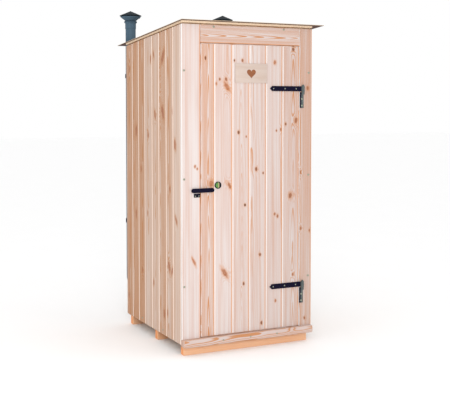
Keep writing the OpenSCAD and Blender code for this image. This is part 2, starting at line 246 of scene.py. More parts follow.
def pine(name, pale, blush, ring, knot, contrast=1.0, resin=0.42, painted_highlight=None,
         painted_shade_edge=None, end=None):
    """Pine with its own pale wood, pinkish streaks, rings and knots. resin is how much warm
    boards darken as a whole. The first edge colour is a painted highlight on the chamfers that
    face the light, the second a painted shade on the other ones and on the rounded arris beside
    them; end colours the sawn ends."""
    w, close = new_material(name)

    def read(word, out="Vector"):
        return w.node("ShaderNodeAttribute", {"attribute_name": word}, out=out)

    grain = read("grain")
    across, deep, along = grain.parts()
    pith_across, pith_deep, taper = read("pith").parts()
    light, warm, seed = read("tone").parts()
    eye, ink, bulge, nearest = knot_masks(w, read, grain)

    drift = w.vector(across * 2.2, seed * 37, along * 1.1).noise(1.0, 2.0) - 0.5
    ripple = w.vector(across * 16, seed * 53, along * 6).noise(1.0, 2.0) - 0.5
    from_pith = w.vectors("LENGTH", w.vector(across - pith_across + drift * 0.030,
                                             deep - pith_deep, 0.0), out="Value")
    radius = from_pith + taper * along + drift * 0.012 + ripple * 0.0045
    age = (radius + bulge) / (seed * 0.005 + 0.0035)
    year, phase = w.math("FLOOR", age), w.math("FRACT", age)
    rich = w.node("ShaderNodeTexWhiteNoise", {"noise_dimensions": "1D"},
                  {"W": year + seed * 97}, "Value")
    late = phase.step(0.30, 0.88) * (1 - phase.step(0.93, 1.0))

    fine = w.vector(across * 300, seed * 71, along * 3.0).noise(1.0, 3.0, 0.6)
    mid = w.vector(across * 95, seed * 43, along * 1.3).noise(1.0, 3.0, 0.55)
    broad = w.vector(across * 30, seed * 29, along * 0.8).noise(1.0, 3.0, 0.55)
    patch = w.vector(across * 9, seed * 11, along * 1.6).noise(1.0, 2.0) - 0.5
    rosy = (mid - 0.5) * 1.5 + (broad - 0.5) * 1.2 + (fine - 0.5) * 0.6 + 0.45 + patch * 0.5
    colour = (rosy.step(0.0, 1.0) * contrast).mix(pale, blush)
    mask = late * (0.06 + rich * 0.5 + warm * 0.5 + (broad - 0.5) * 0.8) * contrast
    soak = (warm * resin + (broad - 0.5) * 0.5 + (mid - 0.5) * 0.5).step(0.0, 1.0)
    colour = (mask + soak * 0.8).step(0.0, 1.1).mix(colour, ring)

    halo = 1 - nearest.step(*HALO_EDGE)
    colour = (halo * halo * 0.62).mix(colour, ring)
    swirl = 0.78 + 0.22 * w.math("SINE", nearest * 15)
    colour = (eye * 0.9 * swirl).mix(colour, knot)
    colour = ink.mix(colour, darker(knot, 0.22))
    # Painted light on the grooves: a painted highlight on the chamfers that face the light, a
    # painted shade on the other chamfers and the arris beside them.
    if painted_highlight:
        chamfer = read("chamfer", "Fac")
        outer = 1 - deep.step(*FRONT_HALF)
        bevel = deep.step(*FACE_SKIN) * outer
        colour = (bevel * chamfer.step(0.2, 0.8) * 0.9).mix(colour, painted_highlight)
        colour = (outer * (0 - chamfer).step(0.89, 0.96) * 0.75).mix(colour, painted_shade_edge)
    if end:
        sawn = w.node("ShaderNodeNewGeometry", out="Normal").parts()[0]
        on_end = w.math("ABSOLUTE", sawn).step(0.8, 0.9)
        colour = on_end.mix(colour, (late * 0.5).mix(end, knot))
    shade = light * 0.16 + (fine - 0.5) * 0.07 + (mid - 0.5) * 0.07 + 0.94
    colour = w.vectors("MULTIPLY", colour, w.vector(shade, shade, shade))

    height = late * 0.5 + fine * 0.35 + eye * 0.6
    bump = w.node("ShaderNodeBump", None,
                  {"Strength": 0.25, "Distance": 0.0006, "Height": height}, "Normal")
    return close(Base_Color=colour, Roughness=0.66 - late * 0.10 - eye * 0.12, Normal=bump,
                 Specular_IOR_Level=0.3)


# %% [markdown]
# Four pines are needed: the pale front, the browner side boards, the yellow timbers of the
# frame, and the orange skids, which are stained against rot and have bright sawn ends.

# %% The four pines
# The last two colours of the front and side pines are the grooves' painted highlight and painted
# shade.
FRONT = pine("front pine", pigment(241, 229, 225, 1.38), pigment(231, 206, 197, 1.38),
             pigment(222, 154, 104, 1.38), pigment(188, 112, 66, 1.38), 1.2, 0.26,
             pigment(250, 247, 245, 1.15), pigment(222, 156, 110, 1.08))
SIDE = pine("side pine", pigment(222, 200, 186, 1.16), pigment(212, 180, 159, 1.16),
            pigment(196, 136, 88, 1.16), pigment(172, 96, 52, 1.16), 1.15, 0.42,
            pigment(244, 230, 218, 1.02), pigment(190, 134, 92, 1.10))
TIMBER = pine("frame timber", pigment(236, 205, 168, 1.3), pigment(226, 186, 144, 1.3),
              pigment(208, 146, 92, 1.3), pigment(150, 88, 50, 1.3))
SKID = pine("skid timber", pigment(238, 190, 152, 1.1), pigment(230, 172, 130, 1.1),
            pigment(216, 138, 86, 1.1), pigment(160, 88, 46, 1.1),
            end=pigment(236, 160, 104, 0.9))

# %% [markdown]
# ## Boards
# A wall is a row of boards with V-grooves between them. Each board has a tongue side hidden
# behind its groove, so nothing shows through. Geometry Nodes repeat one cross-section: every
# board is a point that carries its width, its ends, its pith, tone and knots, and the tree
# stretches the section to it without stretching the bevels.

# %% One cross-section, unit wide and unit long
GROOVE, GAP = 0.0062, 0.0003        # depth of the V, and half the gap at its bottom


def board_section(thick, bevel, gap):
    """A template board: x is its side, z its end, and `cut` holds (trim, depth, end trim)."""
    back, slot, end = 0.001, bevel + 0.0012, 0.0012
    half = [(bevel + gap, 0), (gap, bevel), (gap, slot),
            (0, slot), (0, thick - back), (back, thick)]
    ring = [(1, *p) for p in half] + [(-1, *p) for p in reversed(half)]
    levels = [(0, end, 0.0), (0, 0.0, end), (1, 0.0, -end), (1, end, 0.0)]
    verts, cuts = [], []
    for level, shrink, lift in levels:
        for side, trim, deep in ring:
            inward = shrink if deep < thick / 2 else -shrink
            verts.append((side, 0, level))
            cuts.append((trim + shrink, deep + inward, lift))
    n = len(ring)
    faces = [tuple(reversed(range(n))), tuple(range(3 * n, 4 * n))]
    for r in range(3):
        for i in range(n):
            j = (i + 1) % n
            faces.append((r * n + i, r * n + j, r * n + n + j, r * n + n + i))
    mesh = bpy.data.meshes.new("board section")
    mesh.from_pydata(verts, [], faces)
    mesh.attributes.new("cut", "FLOAT_VECTOR", "POINT").data.foreach_set(
        "vector", np.array(cuts, np.float32).ravel())
    return bpy.data.objects.new("board section", mesh)


print(f"grooves {GROOVE * 1000:.1f} mm deep, boards {GAP * 2000:.1f} mm apart")


# %% Helpers for Geometry Nodes
def new_tree(name, inputs):
    """A Geometry Nodes tree with named inputs: (tree, Wire, {input: Wire}, identifiers)."""
    tree = bpy.data.node_groups.new(name, "GeometryNodeTree")
    tree.interface.new_socket("Geometry", in_out="OUTPUT", socket_type="NodeSocketGeometry")
    tree.interface.new_socket("Geometry", in_out="INPUT", socket_type="NodeSocketGeometry")
    keys = {}
    for label, kind in inputs.items():
        keys[label] = tree.interface.new_socket(
            label, in_out="INPUT", socket_type="NodeSocket" + kind).identifier
    start = tree.nodes.new("NodeGroupInput")
    given = {s.name: Wire(tree, s) for s in start.outputs if s.name}
    return tree, Wire(tree), given, keys


def named(w, word, kind="FLOAT_VECTOR"):
    """Reads a named attribute in a Geometry Nodes tree."""
    return w.node("GeometryNodeInputNamedAttribute", {"data_type": kind}, {"Name": word})


def close_tree(w, geometry, material):
    """Ends a tree in Realize Instances and Set Material."""
    real = w.node("GeometryNodeRealizeInstances", None, {"Geometry": geometry})
    done = w.node("GeometryNodeSetMaterial", None, {"Geometry": real, "Material": material})
    end = w.tree.nodes.new("NodeGroupOutput")
    w.tree.links.new(done.socket, end.inputs[0])
    print("tree:", w.tree.name, "with", len(w.tree.nodes), "nodes")


# %% The tree that repeats the section
BOARDS, w, given, BOARD_KEYS = new_tree("row of boards", {
    "Section": "Object", "Slope across": "Float", "Slope inward": "Float",
    "Painted highlight side": "Float", "Material": "Material"})
section = w.node("GeometryNodeObjectInfo", None, {"Object": given["Section"]}, "Geometry")
placed = w.node("GeometryNodeInstanceOnPoints", None,
                {"Points": given["Geometry"], "Instance": section}, "Instances")
loose = w.node("GeometryNodeRealizeInstances", None, {"Geometry": placed})
middle, wide, _ = named(w, "span").parts()
low, high, _ = named(w, "ends").parts()
trim, deep, lift = named(w, "cut").parts()
side = named(w, "side", "FLOAT")
level = named(w, "level", "FLOAT")
left_edge, right_edge, _ = named(w, "edges").parts()
sharp = left_edge + (right_edge - left_edge) * (side * 0.5 + 0.5)
across = side * (wide / 2 - trim * sharp)
tilt = (across * given["Slope across"] + deep * given["Slope inward"]) * level
along = low + level * (high - low) + lift + tilt
moved = w.node("GeometryNodeSetPosition", None, {
    "Geometry": loose, "Position": w.vector(middle + across, deep, along)})
stored = w.node("GeometryNodeStoreNamedAttribute", {"data_type": "FLOAT_VECTOR"}, {
    "Geometry": moved, "Name": "grain", "Value": w.vector(across, deep, along)})
# chamfer is +1 on the side of a board whose chamfer gets the painted highlight, and -1 where it
# gets the painted shade.
marked = w.node("GeometryNodeStoreNamedAttribute", {"data_type": "FLOAT"}, {
    "Geometry": stored, "Name": "chamfer", "Value": side * given["Painted highlight side"]})
close_tree(w, marked, given["Material"])

# %% [markdown]
# ## What every board carries
# The knots that catch the eye are set from a short list for each wall. Boards that nobody set
# get knots from a seeded random draw, so the walls look the same at each run.

# %% Facts of a board
dice = random.Random(11)
NO_KNOT = (9.0, 9.0, 0.01)
PLAIN = (0.25, 0.0, 0.65)       # how dark, leaning and short a knot is if nothing is said


def drawn_knot(u0, u1, low, high):
    """A knot drawn at random, clear of the board's edges."""
    return (dice.uniform(u0 + 0.015, u1 - 0.015), dice.uniform(low, high),
            dice.uniform(0.005, 0.012), dice.choice((0.0, 0.1, 0.5)),
            dice.uniform(-0.3, 0.3), dice.uniform(0.4, 0.8))


def facts(u0, u1, low, high, knots=None, tone=None, pith=None, edges=(1, 1)):
    """A board from u0 to u1 across and low to high along. A knot is (across, along, radius),
    and may add how dark it is, how far it leans, and how short it is along the grain."""
    middle, wide = (u0 + u1) / 2, u1 - u0
    if knots is None:
        own = [drawn_knot(u0, u1, low, high) for _ in range(dice.choice((2, 3, 4, 5)))]
    else:
        own = [k for k in knots if u0 <= k[0] < u1]
    own = sorted(own, key=lambda k: -k[2])[:KNOTS]
    own += [NO_KNOT] * (KNOTS - len(own))
    own = [(*k, *PLAIN[len(k) - 3:]) for k in own]
    pith_drawn = (dice.uniform(-0.35, 0.35) * wide,
                  dice.choice((-1, 1)) * dice.uniform(0.015, 0.06),
                  dice.choice((-1, 1)) * dice.uniform(0.006, 0.03))
    look = (dice.uniform(-0.5, 0.5), dice.uniform(-0.1, 0.5), dice.uniform(0, 1))
    if tone:
        look = (*tone, look[2])[:3]
    made = {"span": (middle, wide, 0), "ends": (low, high, 0), "edges": (*edges, 0),
            "pith": pith or pith_drawn, "tone": look}
    for k, (across, along, radius, dark, lean, stretch) in enumerate(own):
        made[f"knot_{k}"] = (across - middle, radius, along)
        made[f"mark_{k}"] = (lean, stretch, dark)
    return made


print("a knot is dark, leaning and short by", PLAIN, "if nothing else is said")

# %% [markdown]
# Three small helpers serve every piece: one writes attributes, one brings a mesh from board axes
# (across, inward, along) to its place, and one links a finished piece to its body and hides the
# nodes that it stands for.


# %% Helpers that place and show a mesh
def write_attributes(mesh, columns):
    """Stores lists of numbers or vectors on a mesh's points."""
    for word, values in columns.items():
        values = np.array(values, np.float32)
        kind = "FLOAT_VECTOR" if values.ndim == 2 else "FLOAT"
        data = mesh.attributes.new(word, kind, "POINT").data
        data.foreach_set("vector" if values.ndim == 2 else "value", values.ravel())


def lay(mesh, origin, across, inward, along):
    """Moves a mesh from board axes to its place on the cabin."""
    turn = Matrix((across, inward, along)).transposed().to_4x4()
    mesh.transform(Matrix.Translation(origin) @ turn)
    return mesh


def show(name, mesh, body, slot, *nodes):
    """A finished piece: linked, riding on its body, standing for nodes; slot is not used."""
    piece = bpy.data.objects.new(name, mesh)
    bpy.context.scene.collection.objects.link(piece)
    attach(piece, body)
    if nodes:
        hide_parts(*nodes)
    print(f"{name}: {len(mesh.polygons)} faces on {body}")
    return piece


print("pieces are laid, then shown")

# %% [markdown]
# Points carry the facts, a tree turns them into geometry, and the result is copied out as a
# plain mesh, with its attributes. The tree's own object and modifier are thrown away at once.


# %% Helpers that grow a mesh from points
def grown(points, tree, keys, values):
    """Runs a tree on a mesh of points and returns the plain mesh that it makes."""
    helper = bpy.data.objects.new("points", points)
    bpy.context.scene.collection.objects.link(helper)
    modifier = helper.modifiers.new("grow", "NODES")
    modifier.node_group = tree
    for label, value in values.items():
        modifier[keys[label]] = value
    deps = bpy.context.evaluated_depsgraph_get()
    mesh = bpy.data.meshes.new_from_object(
        helper.evaluated_get(deps), preserve_all_data_layers=True, depsgraph=deps)
    helper.modifiers.clear()
    bpy.data.objects.remove(helper)
    return mesh


# bright picks the side of each board that gets the painted highlight.
def row(rows, thick, material, bevel=GROOVE, gap=GAP, slopes=(0, 0), bright=-1):
    """The mesh of a row of boards, in board axes."""
    points = bpy.data.meshes.new("points")
    points.from_pydata([(0, 0, 0)] * len(rows), [], [])
    write_attributes(points, {word: [r[word] for r in rows] for word in rows[0]})
    template = board_section(thick, bevel, gap)
    co = np.array([v.co for v in template.data.vertices])
    write_attributes(template.data, {"side": co[:, 0], "level": co[:, 2]})
    mesh = grown(points, BOARDS, BOARD_KEYS, {
        "Section": template, "Slope across": float(slopes[0]), "Slope inward": float(slopes[1]),
        "Painted highlight side": float(bright), "Material": material})
    bpy.data.objects.remove(template)
    return mesh


print("a row needs", ", ".join(BOARD_KEYS))

# %% [markdown]
# ## The walls
# A wall is a row of upright tongue-and-groove boards of unequal widths. The side walls' upper
# edges follow the roof, so their boards are cut on a slope. Each wall's outline comes from the
# box of its node, and the joints between its boards are listed.

# %% Places that the walls share
wall_low, wall_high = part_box("left_wall")
right_low, right_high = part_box("right_wall")
rear_low, rear_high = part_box("rear_wall")
header_low, header_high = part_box("front_header")
stile_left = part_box("front_stile_left")
stile_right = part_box("front_stile_right")
leaf_low, leaf_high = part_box("door_leaf")
sheet_low, sheet_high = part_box("roof_sheet")
front_y, rear_y = stile_left[0].y, rear_high.y
left_x, right_x = wall_low.x, right_high.x
wall_t = wall_high.x - wall_low.x
front_t = stile_left[1].y - front_y
sheet_t = 0.003
fall = ((sheet_high.z - sheet_low.z) - sheet_t) / (sheet_high.y - sheet_low.y)
print(f"the roof falls {fall:.4f} m in each metre")


def joints_to_rows(joints, low, high, slope=0.0, knots=None, tones=None, base=None):
    """Boards between neighbouring joints; high is where the top would be at `base` across."""
    joints = sorted(joints)
    made = []
    for i, (u0, u1) in enumerate(zip(joints, joints[1:])):
        top = high if base is None else high + slope * ((u0 + u1) / 2 - base)
        made.append(facts(u0, u1, low, top, knots, tones[i] if tones else None))
    return made


# %% [markdown]
# The left wall is the one that shows most. Its boards alternate between pale and resin-rich
# ones, getting browner towards the rear, and its large slanted knots stand at known places.

# %% The left wall
SIDE_GROOVE = 0.0065
KNOT_GROWTH, KNOT_INK, KNOT_STRETCH = 1.6, 0.1, 0.45
LEFT_JOINTS = (-0.3705, -0.2535, -0.1245, -0.0005, 0.1385, 0.2585, 0.3855)
LEFT_KNOTS = [
    (-0.199, 1.939, 0.016, -0.5), (0.020, 1.936, 0.008, 0.0), (-0.033, 1.963, 0.007, 0.3),
    (0.450, 1.884, 0.008, 0.0), (-0.195, 1.573, 0.015, 0.3), (-0.363, 1.578, 0.006, 0.0),
    (0.307, 1.437, 0.013, 0.0), (0.075, 1.413, 0.008, 0.0), (0.212, 1.169, 0.007, 0.0),
    (-0.316, 1.066, 0.007, 0.0), (0.315, 0.837, 0.010, 0.0), (0.086, 0.868, 0.006, 0.0),
    (-0.421, 0.873, 0.009, 0.4), (-0.302, 0.551, 0.012, 0.3), (-0.351, 0.530, 0.009, -0.3),
    (0.192, 0.451, 0.007, 0.0), (-0.023, 0.397, 0.007, 0.0), (0.474, 0.219, 0.007, 0.0),
    (-0.214, 0.223, 0.010, 0.0), (-0.270, 0.238, 0.007, 0.0), (-0.056, 1.553, 0.009, 0.2),
    (-0.405, 1.361, 0.011, 0.1)]
LEFT_TONES = [(-0.3, 1.35), (-0.2, 1.35), (-0.3, 1.5), (-0.05, 0.15), (0.0, 0.15),
              (-0.15, 0.95), (-0.1, 0.75), (0.05, -0.35)]      # (light, warm), rear first
left_knots = [(-y, z, size * KNOT_GROWTH, KNOT_INK, lean, KNOT_STRETCH)
              for y, z, size, lean in LEFT_KNOTS]
left_rows = joints_to_rows(
    [-y for y in (wall_low.y, *LEFT_JOINTS, wall_high.y)], wall_low.z, wall_high.z, fall,
    left_knots, LEFT_TONES, -wall_low.y)
left_mesh = row(left_rows, wall_t, SIDE, SIDE_GROOVE, slopes=(fall, 0), bright=1)
show("left_boards", lay(left_mesh, (left_x, 0, 0), (0, -1, 0), (1, 0, 0), (0, 0, 1)),
     "cabin", "side_boards", "left_wall")

# %% [markdown]
# The right wall has the same joints. Nobody set its knots and tones, so the dice draw them.

# %% The right wall
right_rows = joints_to_rows(
    [right_low.y, *LEFT_JOINTS, right_high.y], right_low.z, right_high.z, -fall,
    base=right_low.y)
right_mesh = row(right_rows, wall_t, SIDE, SIDE_GROOVE, slopes=(-fall, 0))
show("right_boards", lay(right_mesh, (right_x, 0, 0), (0, 1, 0), (-1, 0, 0), (0, 0, 1)),
     "cabin", "side_boards", "right_wall")

# %% [markdown]
# The rear wall has a hole behind each vent flange. Its joints leave each hole inside a single
# board, and a cutter takes the wood out. A Boolean is right here, because the hole is one
# plain drilling. The cut makes new corners without attributes, so every board gets its facts
# again, found by its place.

# %% The rear wall
rear_joints = [-right_x, -0.384, -0.287, -0.159, -0.031, 0.097, 0.225, 0.353, -left_x]
rear_rows = joints_to_rows(rear_joints, rear_low.z, rear_high.z - wall_t * fall)
rear_mesh = row(rear_rows, wall_t, SIDE, SIDE_GROOVE, slopes=(0, fall))
lay(rear_mesh, (0, rear_y, 0), (-1, 0, 0), (0, -1, 0), (0, 0, 1))
print("the rear wall has", len(rear_rows), "boards")


# %% Holes for the vent elbows
HOLE_R, FLANGE_R, DRILL = 0.0395, 0.0515, 0.1


def cylinder(radius, length, steps=64):
    """A closed cylinder along Y, centred on the origin."""
    bm = bmesh.new()
    bmesh.ops.create_cone(bm, cap_ends=True, segments=steps, radius1=radius, radius2=radius,
                          depth=length, matrix=Euler((math.pi / 2, 0, 0)).to_matrix().to_4x4())
    mesh = bpy.data.meshes.new("cutter")
    bm.to_mesh(mesh)
    bm.free()
    return mesh


def cut(mesh, cutter):
    """The mesh with the cutter's shape taken out."""
    whole, tool = (bpy.data.objects.new("cut", m) for m in (mesh, cutter))
    for o in (whole, tool):
        bpy.context.scene.collection.objects.link(o)
    boolean = whole.modifiers.new("cut", "BOOLEAN")
    boolean.operation, boolean.solver, boolean.object = "DIFFERENCE", "EXACT", tool
    deps = bpy.context.evaluated_depsgraph_get()
    made = bpy.data.meshes.new_from_object(
        whole.evaluated_get(deps), preserve_all_data_layers=True, depsgraph=deps)
    for o in (whole, tool):
        bpy.data.objects.remove(o)
    return made


inlets = [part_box(f"vent_elbow_{s}") for s in ("left", "right")]
for low, high in inlets:
    tool = cylinder(HOLE_R, DRILL)
    tool.transform(Matrix.Translation(((low.x + high.x) / 2, rear_y, low.z + FLANGE_R)))
    rear_mesh = cut(rear_mesh, tool)
print("holes drilled:", len(inlets))


# %% Facts for the cut boards
def refill(mesh, rows, to_board):
    """Gives every board of a mesh its facts and grain again, board by board."""
    bm = bmesh.new()
    bm.from_mesh(mesh)
    bm.verts.ensure_lookup_table()
    home = np.zeros(len(bm.verts), int)
    seen = set()
    for start in bm.verts:
        if start in seen:
            continue
        island, queue = [], [start]
        seen.add(start)
        while queue:
            v = queue.pop()
            island.append(v.index)
            for e in v.link_edges:
                other = e.other_vert(v)
                if other not in seen:
                    seen.add(other)
                    queue.append(other)
        centre = np.mean([to_board(bm.verts[i].co)[0] for i in island])
        home[island] = min(range(len(rows)), key=lambda k: abs(rows[k]["span"][0] - centre))
    bm.free()
    columns = {word: [rows[k][word] for k in home]
               for word in rows[0] if word not in ("span", "ends", "edges")}
    columns["grain"] = [
        (to_board(v.co)[0] - rows[k]["span"][0], *to_board(v.co)[1:])
        for v, k in zip(mesh.vertices, home)]
    for word in columns:
        if word in mesh.attributes:
            mesh.attributes.remove(mesh.attributes[word])
    write_attributes(mesh, columns)


refill(rear_mesh, rear_rows, lambda p: (-p.x, rear_y - p.y, p.z))
show("rear_boards", rear_mesh, "cabin", "side_boards", "rear_wall")

# %% [markdown]
# ## The front and the door
# The front has one wide board on each side of the door and one lying board over it. The door
# leaf has six boards of its own, the left one narrower. Seen from outside, the gap round the
# door is hardly wider than the grooves. The board over the door is cut near the pith, so it
# shows long flames; it is laid with the same tree, turned on its side.

# %% The boards round the door
FRONT_KNOTS = [(-0.390, 1.226, 0.007, 0.1), (-0.375, 1.211, 0.006, 0.1),
               (-0.399, 0.612, 0.009, 0.05, 0.4, 0.3), (0.449, 1.734, 0.010, 0.2),
               (0.390, 1.164, 0.011, 0.1), (0.397, 0.782, 0.009, 0.15),
               (0.467, 0.764, 0.007, 0.2), (0.429, 0.163, 0.008, 0.3)]
# The right stile's low light is a painted shade, going on from the door's boards beside it.
STILE_FACTS = ((stile_left, (0.2, -0.2), (0.05, 0.05, 0.004), (0.4, 0.6)),
               (stile_right, (-0.6, 0.9, 0.3), (-0.05, 0.03, 0.012), (0.5, 0.4)))
stiles = [facts(low.x, high.x, low.z, high.z, FRONT_KNOTS, tone, pith, edges)
          for (low, high), tone, pith, edges in STILE_FACTS]
FLAT = ((1, 0, 0), (0, 1, 0), (0, 0, 1))
LYING = ((0, 0, -1), (0, 1, 0), (1, 0, 0))
front = lay(row(stiles, front_t, FRONT, slopes=(0, -fall)), (0, front_y, 0), *FLAT)
header = facts(-header_high.z, -header_low.z, header_low.x, header_high.x, [],
               (-0.25, 0.85, 0.3), (0.008, 0.016, 0.035), (0.3, 0.3))
over_door = lay(row([header], front_t, FRONT), (0, front_y, 0), *LYING)


def joined(*meshes):
    """One mesh from several that share their attributes."""
    made = []
    for mesh in meshes:
        o = bpy.data.objects.new("part", mesh)
        bpy.context.scene.collection.objects.link(o)
        made.append(o)
    with bpy.context.temp_override(active_object=made[0], selected_editable_objects=made,
                                   object=made[0], selected_objects=made):
        bpy.ops.object.join()
    mesh = made[0].data
    bpy.data.objects.remove(made[0])
    return mesh


show("front_boards", joined(front, over_door), "cabin", "front_boards",
     "front_stile_left", "front_stile_right", "front_header")

# %% [markdown]
# The door's boards differ as real ones do: a flamed one at the latch, quiet straight ones in the
# middle and a browner one at the hinges. Their light also falls from board to board towards the
# hinges, a painted shade. Their looks and knots are listed. The outer edges of the leaf are
# nearly sharp, so the gap round the door stays narrow.

# %% The door leaf
LEAF_EDGE = 0.3
DOOR_JOINTS = (-0.2515, -0.1205, 0.0045, 0.1295, 0.2545)
DOOR_KNOTS = [(-0.315, 1.918, 0.007, 0.7, 0.0, 0.45), (-0.275, 1.113, 0.017, 0.05, 0.0, 0.65),
              (-0.214, 1.786, 0.007, 0.5), (-0.168, 1.786, 0.009, 0.35),
              (-0.206, 1.130, 0.006, 0.1), (-0.164, 1.742, 0.017, 0.08, 0.5, 0.5),
              (-0.240, 1.757, 0.008, 0.1),
              (-0.143, 1.093, 0.013, 0.2, 0.5, 0.5), (-0.179, 0.523, 0.018, 0.15, 0.5, 0.5),
              (-0.110, 1.910, 0.009, 0.7, 0.0, 0.9), (-0.049, 1.911, 0.008, 0.4),
              (-0.078, 1.441, 0.009, 0.7), (-0.021, 1.412, 0.005, 0.3),
              (-0.029, 0.961, 0.008, 0.9), (-0.039, 0.439, 0.008, 0.7),
              (0.054, 1.196, 0.010, 0.5), (0.106, 1.167, 0.006, 0.6),
              (0.083, 0.624, 0.009, 0.5), (0.095, 0.164, 0.008, 0.6),
              (0.193, 1.903, 0.010, 0.05), (0.206, 1.449, 0.006, 0.4),
              (0.241, 1.456, 0.008, 0.3), (0.194, 0.889, 0.007, 0.3),
              (0.216, 0.876, 0.008, 0.3), (0.202, 0.303, 0.007, 0.1),
              (0.334, 1.993, 0.010, 0.5), (0.278, 1.492, 0.007, 0.6),
              (0.356, 1.515, 0.013, 0.2), (0.313, 1.009, 0.015, 0.3),
              (0.336, 0.470, 0.008, 0.2)]
# light falls from the latch side towards the hinges: a painted shade on top of each board's own
# tone.
DOOR_LOOKS = [((0.0, 0.95, 0.7), (0.004, 0.008, 0.030)),
              ((0.15, -0.1, 0.3), (0.03, 0.05, 0.004)),
              ((-0.05, 0.2, 0.2), (0.002, 0.006, 0.045)),
              ((-0.15, 0.2, 0.2), (-0.05, 0.05, 0.006)),
              ((-0.25, 0.1, 0.35), (0.06, 0.04, -0.006)),
              ((-0.45, 0.35, 0.3), (0.02, 0.03, 0.020))]      # (light, warm, seed), pith
leaf_t = leaf_high.y - leaf_low.y
door_edges = (leaf_low.x, *DOOR_JOINTS, leaf_high.x)
leaf_rows = [facts(u0, u1, leaf_low.z, leaf_high.z, DOOR_KNOTS, tone, pith,
                   (LEAF_EDGE if u0 == leaf_low.x else 1, LEAF_EDGE if u1 == leaf_high.x else 1))
             for u0, u1, (tone, pith) in zip(door_edges, door_edges[1:], DOOR_LOOKS)]
show("door_boards", lay(row(leaf_rows, leaf_t, FRONT), (0, front_y, 0), *FLAT),
     "door", "front_boards", "door_leaf")

# %% [markdown]
# The floor is seen only through the open door: seven boards laid front to rear, with plain
# narrow joints instead of grooves.

# %% The floor
FLOOR_BOARDS, FLOOR_BEVEL = 7, 0.001
floor_low, floor_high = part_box("floor")
floor_t = floor_high.z - floor_low.z
floor_edges = np.linspace(floor_low.x, floor_high.x, FLOOR_BOARDS + 1)
floor_rows = [facts(a, b, floor_low.y, floor_high.y)
              for a, b in zip(floor_edges, floor_edges[1:])]
show("floor_boards", lay(row(floor_rows, floor_t, TIMBER, FLOOR_BEVEL), (0, 0, floor_high.z),
                         (-1, 0, 0), (0, 0, -1), (0, -1, 0)), "cabin", "frame_timber", "floor")

# %% [markdown]
# ## Timbers
# Posts, rails, skids and ledges are planed timbers with their edges broken. Each is one
# chamfered bar, made straight in mesh code because no two are alike, with the same attributes
# as a board. A slanted axis gives the slanted ones: the rails under the roof and the brace.


# %% Bars with broken edges
class Bars:
    """Collects bars with chamfered edges into one mesh."""

    def __init__(self):
        self.verts, self.faces, self.columns = [], [], {}

    def bar(self, low, high, along, edge=0.002, slope=(0.0, 0.0), tone=None):
        """A bar between two corners, its length along axis `along` (0 X, 1 Y or 2 Z).
        slope lifts the bar, or its upper end where it stands, for each metre of X and Y."""
        low, high = Vector(low), Vector(high)
        u, v = [a for a in range(3) if a != along]
        ring = []
        for su, sv in ((0, 0), (1, 0), (1, 1), (0, 1)):
            here = ((low[u], high[u])[su], (low[v], high[v])[sv])
            inward = (edge if su == 0 else -edge, edge if sv == 0 else -edge)
            a, b = (here[0] + inward[0], here[1]), (here[0], here[1] + inward[1])
            ring += [b, a] if (su, sv) in ((0, 0), (1, 1)) else [a, b]
        middle = ((low[u] + high[u]) / 2, (low[v] + high[v]) / 2)
        levels = ((low[along], edge), (low[along] + edge, 0), (high[along] - edge, 0),
                  (high[along], edge))
        fact = facts(0, high[u] - low[u], low[along], high[along], None, tone)
        start = len(self.verts)
        for place, shrink in levels:
            for p, q in ring:
                p += math.copysign(shrink, middle[0] - p) if shrink else 0
                q += math.copysign(shrink, middle[1] - q) if shrink else 0
                point = Vector((0, 0, 0))
                point[u], point[v], point[along] = p, q, place
                lifted = slope[0] * point.x + slope[1] * point.y
                if along == 2 and place < (low.z + high.z) / 2:
                    lifted = 0
                self.verts.append(point + Vector((0, 0, lifted)))
                self.columns.setdefault("grain", []).append(
                    (p - middle[0], q - low[v], place))
                for word in fact:
                    if word not in ("span", "ends", "edges"):
                        self.columns.setdefault(word, []).append(fact[word])
        n = len(ring)
        caps = [tuple(start + i for i in range(n)), tuple(start + 3 * n + i for i in range(n))]
        flip = along == 1
        self.faces += [c if flip == (k == 0) else c[::-1] for k, c in enumerate(caps)]
        for r in range(3):
            for i in range(n):
                j, s = (i + 1) % n, start + r * n
                face = (s + i, s + j, s + n + j, s + n + i)
                self.faces.append(face[::-1] if flip else face)
        return self

    def mesh(self, material):
        """The bars as one mesh, faces outwards."""
        mesh = bpy.data.meshes.new("bars")
        mesh.from_pydata(self.verts, [], self.faces)
        write_attributes(mesh, self.columns)
        mesh.materials.append(material)
        bm = bmesh.new()
        bm.from_mesh(mesh)
        bmesh.ops.recalc_face_normals(bm, faces=bm.faces)
        bm.to_mesh(mesh)
        bm.free()
        return mesh


print("along is one of", dict(X=0, Y=1, Z=2))

# %% [markdown]
# The cabin stands on three skids, stained orange, with their sawn ends showing left and right.
# The sill is a pale chamfered board on the front skid, proud of the front boards.

# %% Skids
SKID_NODES = ("skid_front", "skid_middle", "skid_rear")
skids = Bars()
for node in SKID_NODES:
    skids.bar(*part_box(node), 0, edge=0.003, tone=(0.1, 0.0))
show("skid_beams", skids.mesh(SKID), "cabin", "skid_timber", *SKID_NODES)

# %% The sill
sill_low, sill_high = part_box("sill_board")
sill = Bars().bar(sill_low, sill_high, 0, edge=0.005, tone=(-0.1, 0.7))
show("sill", sill.mesh(FRONT), "cabin", "front_boards", "sill_board")

# %% [markdown]
# Inside, posts and rails hold the boards. The boxes give each frame's corners; the timbers
# between them are 45 mm square, and the top ones lie on the roof's slope, like the rafter.

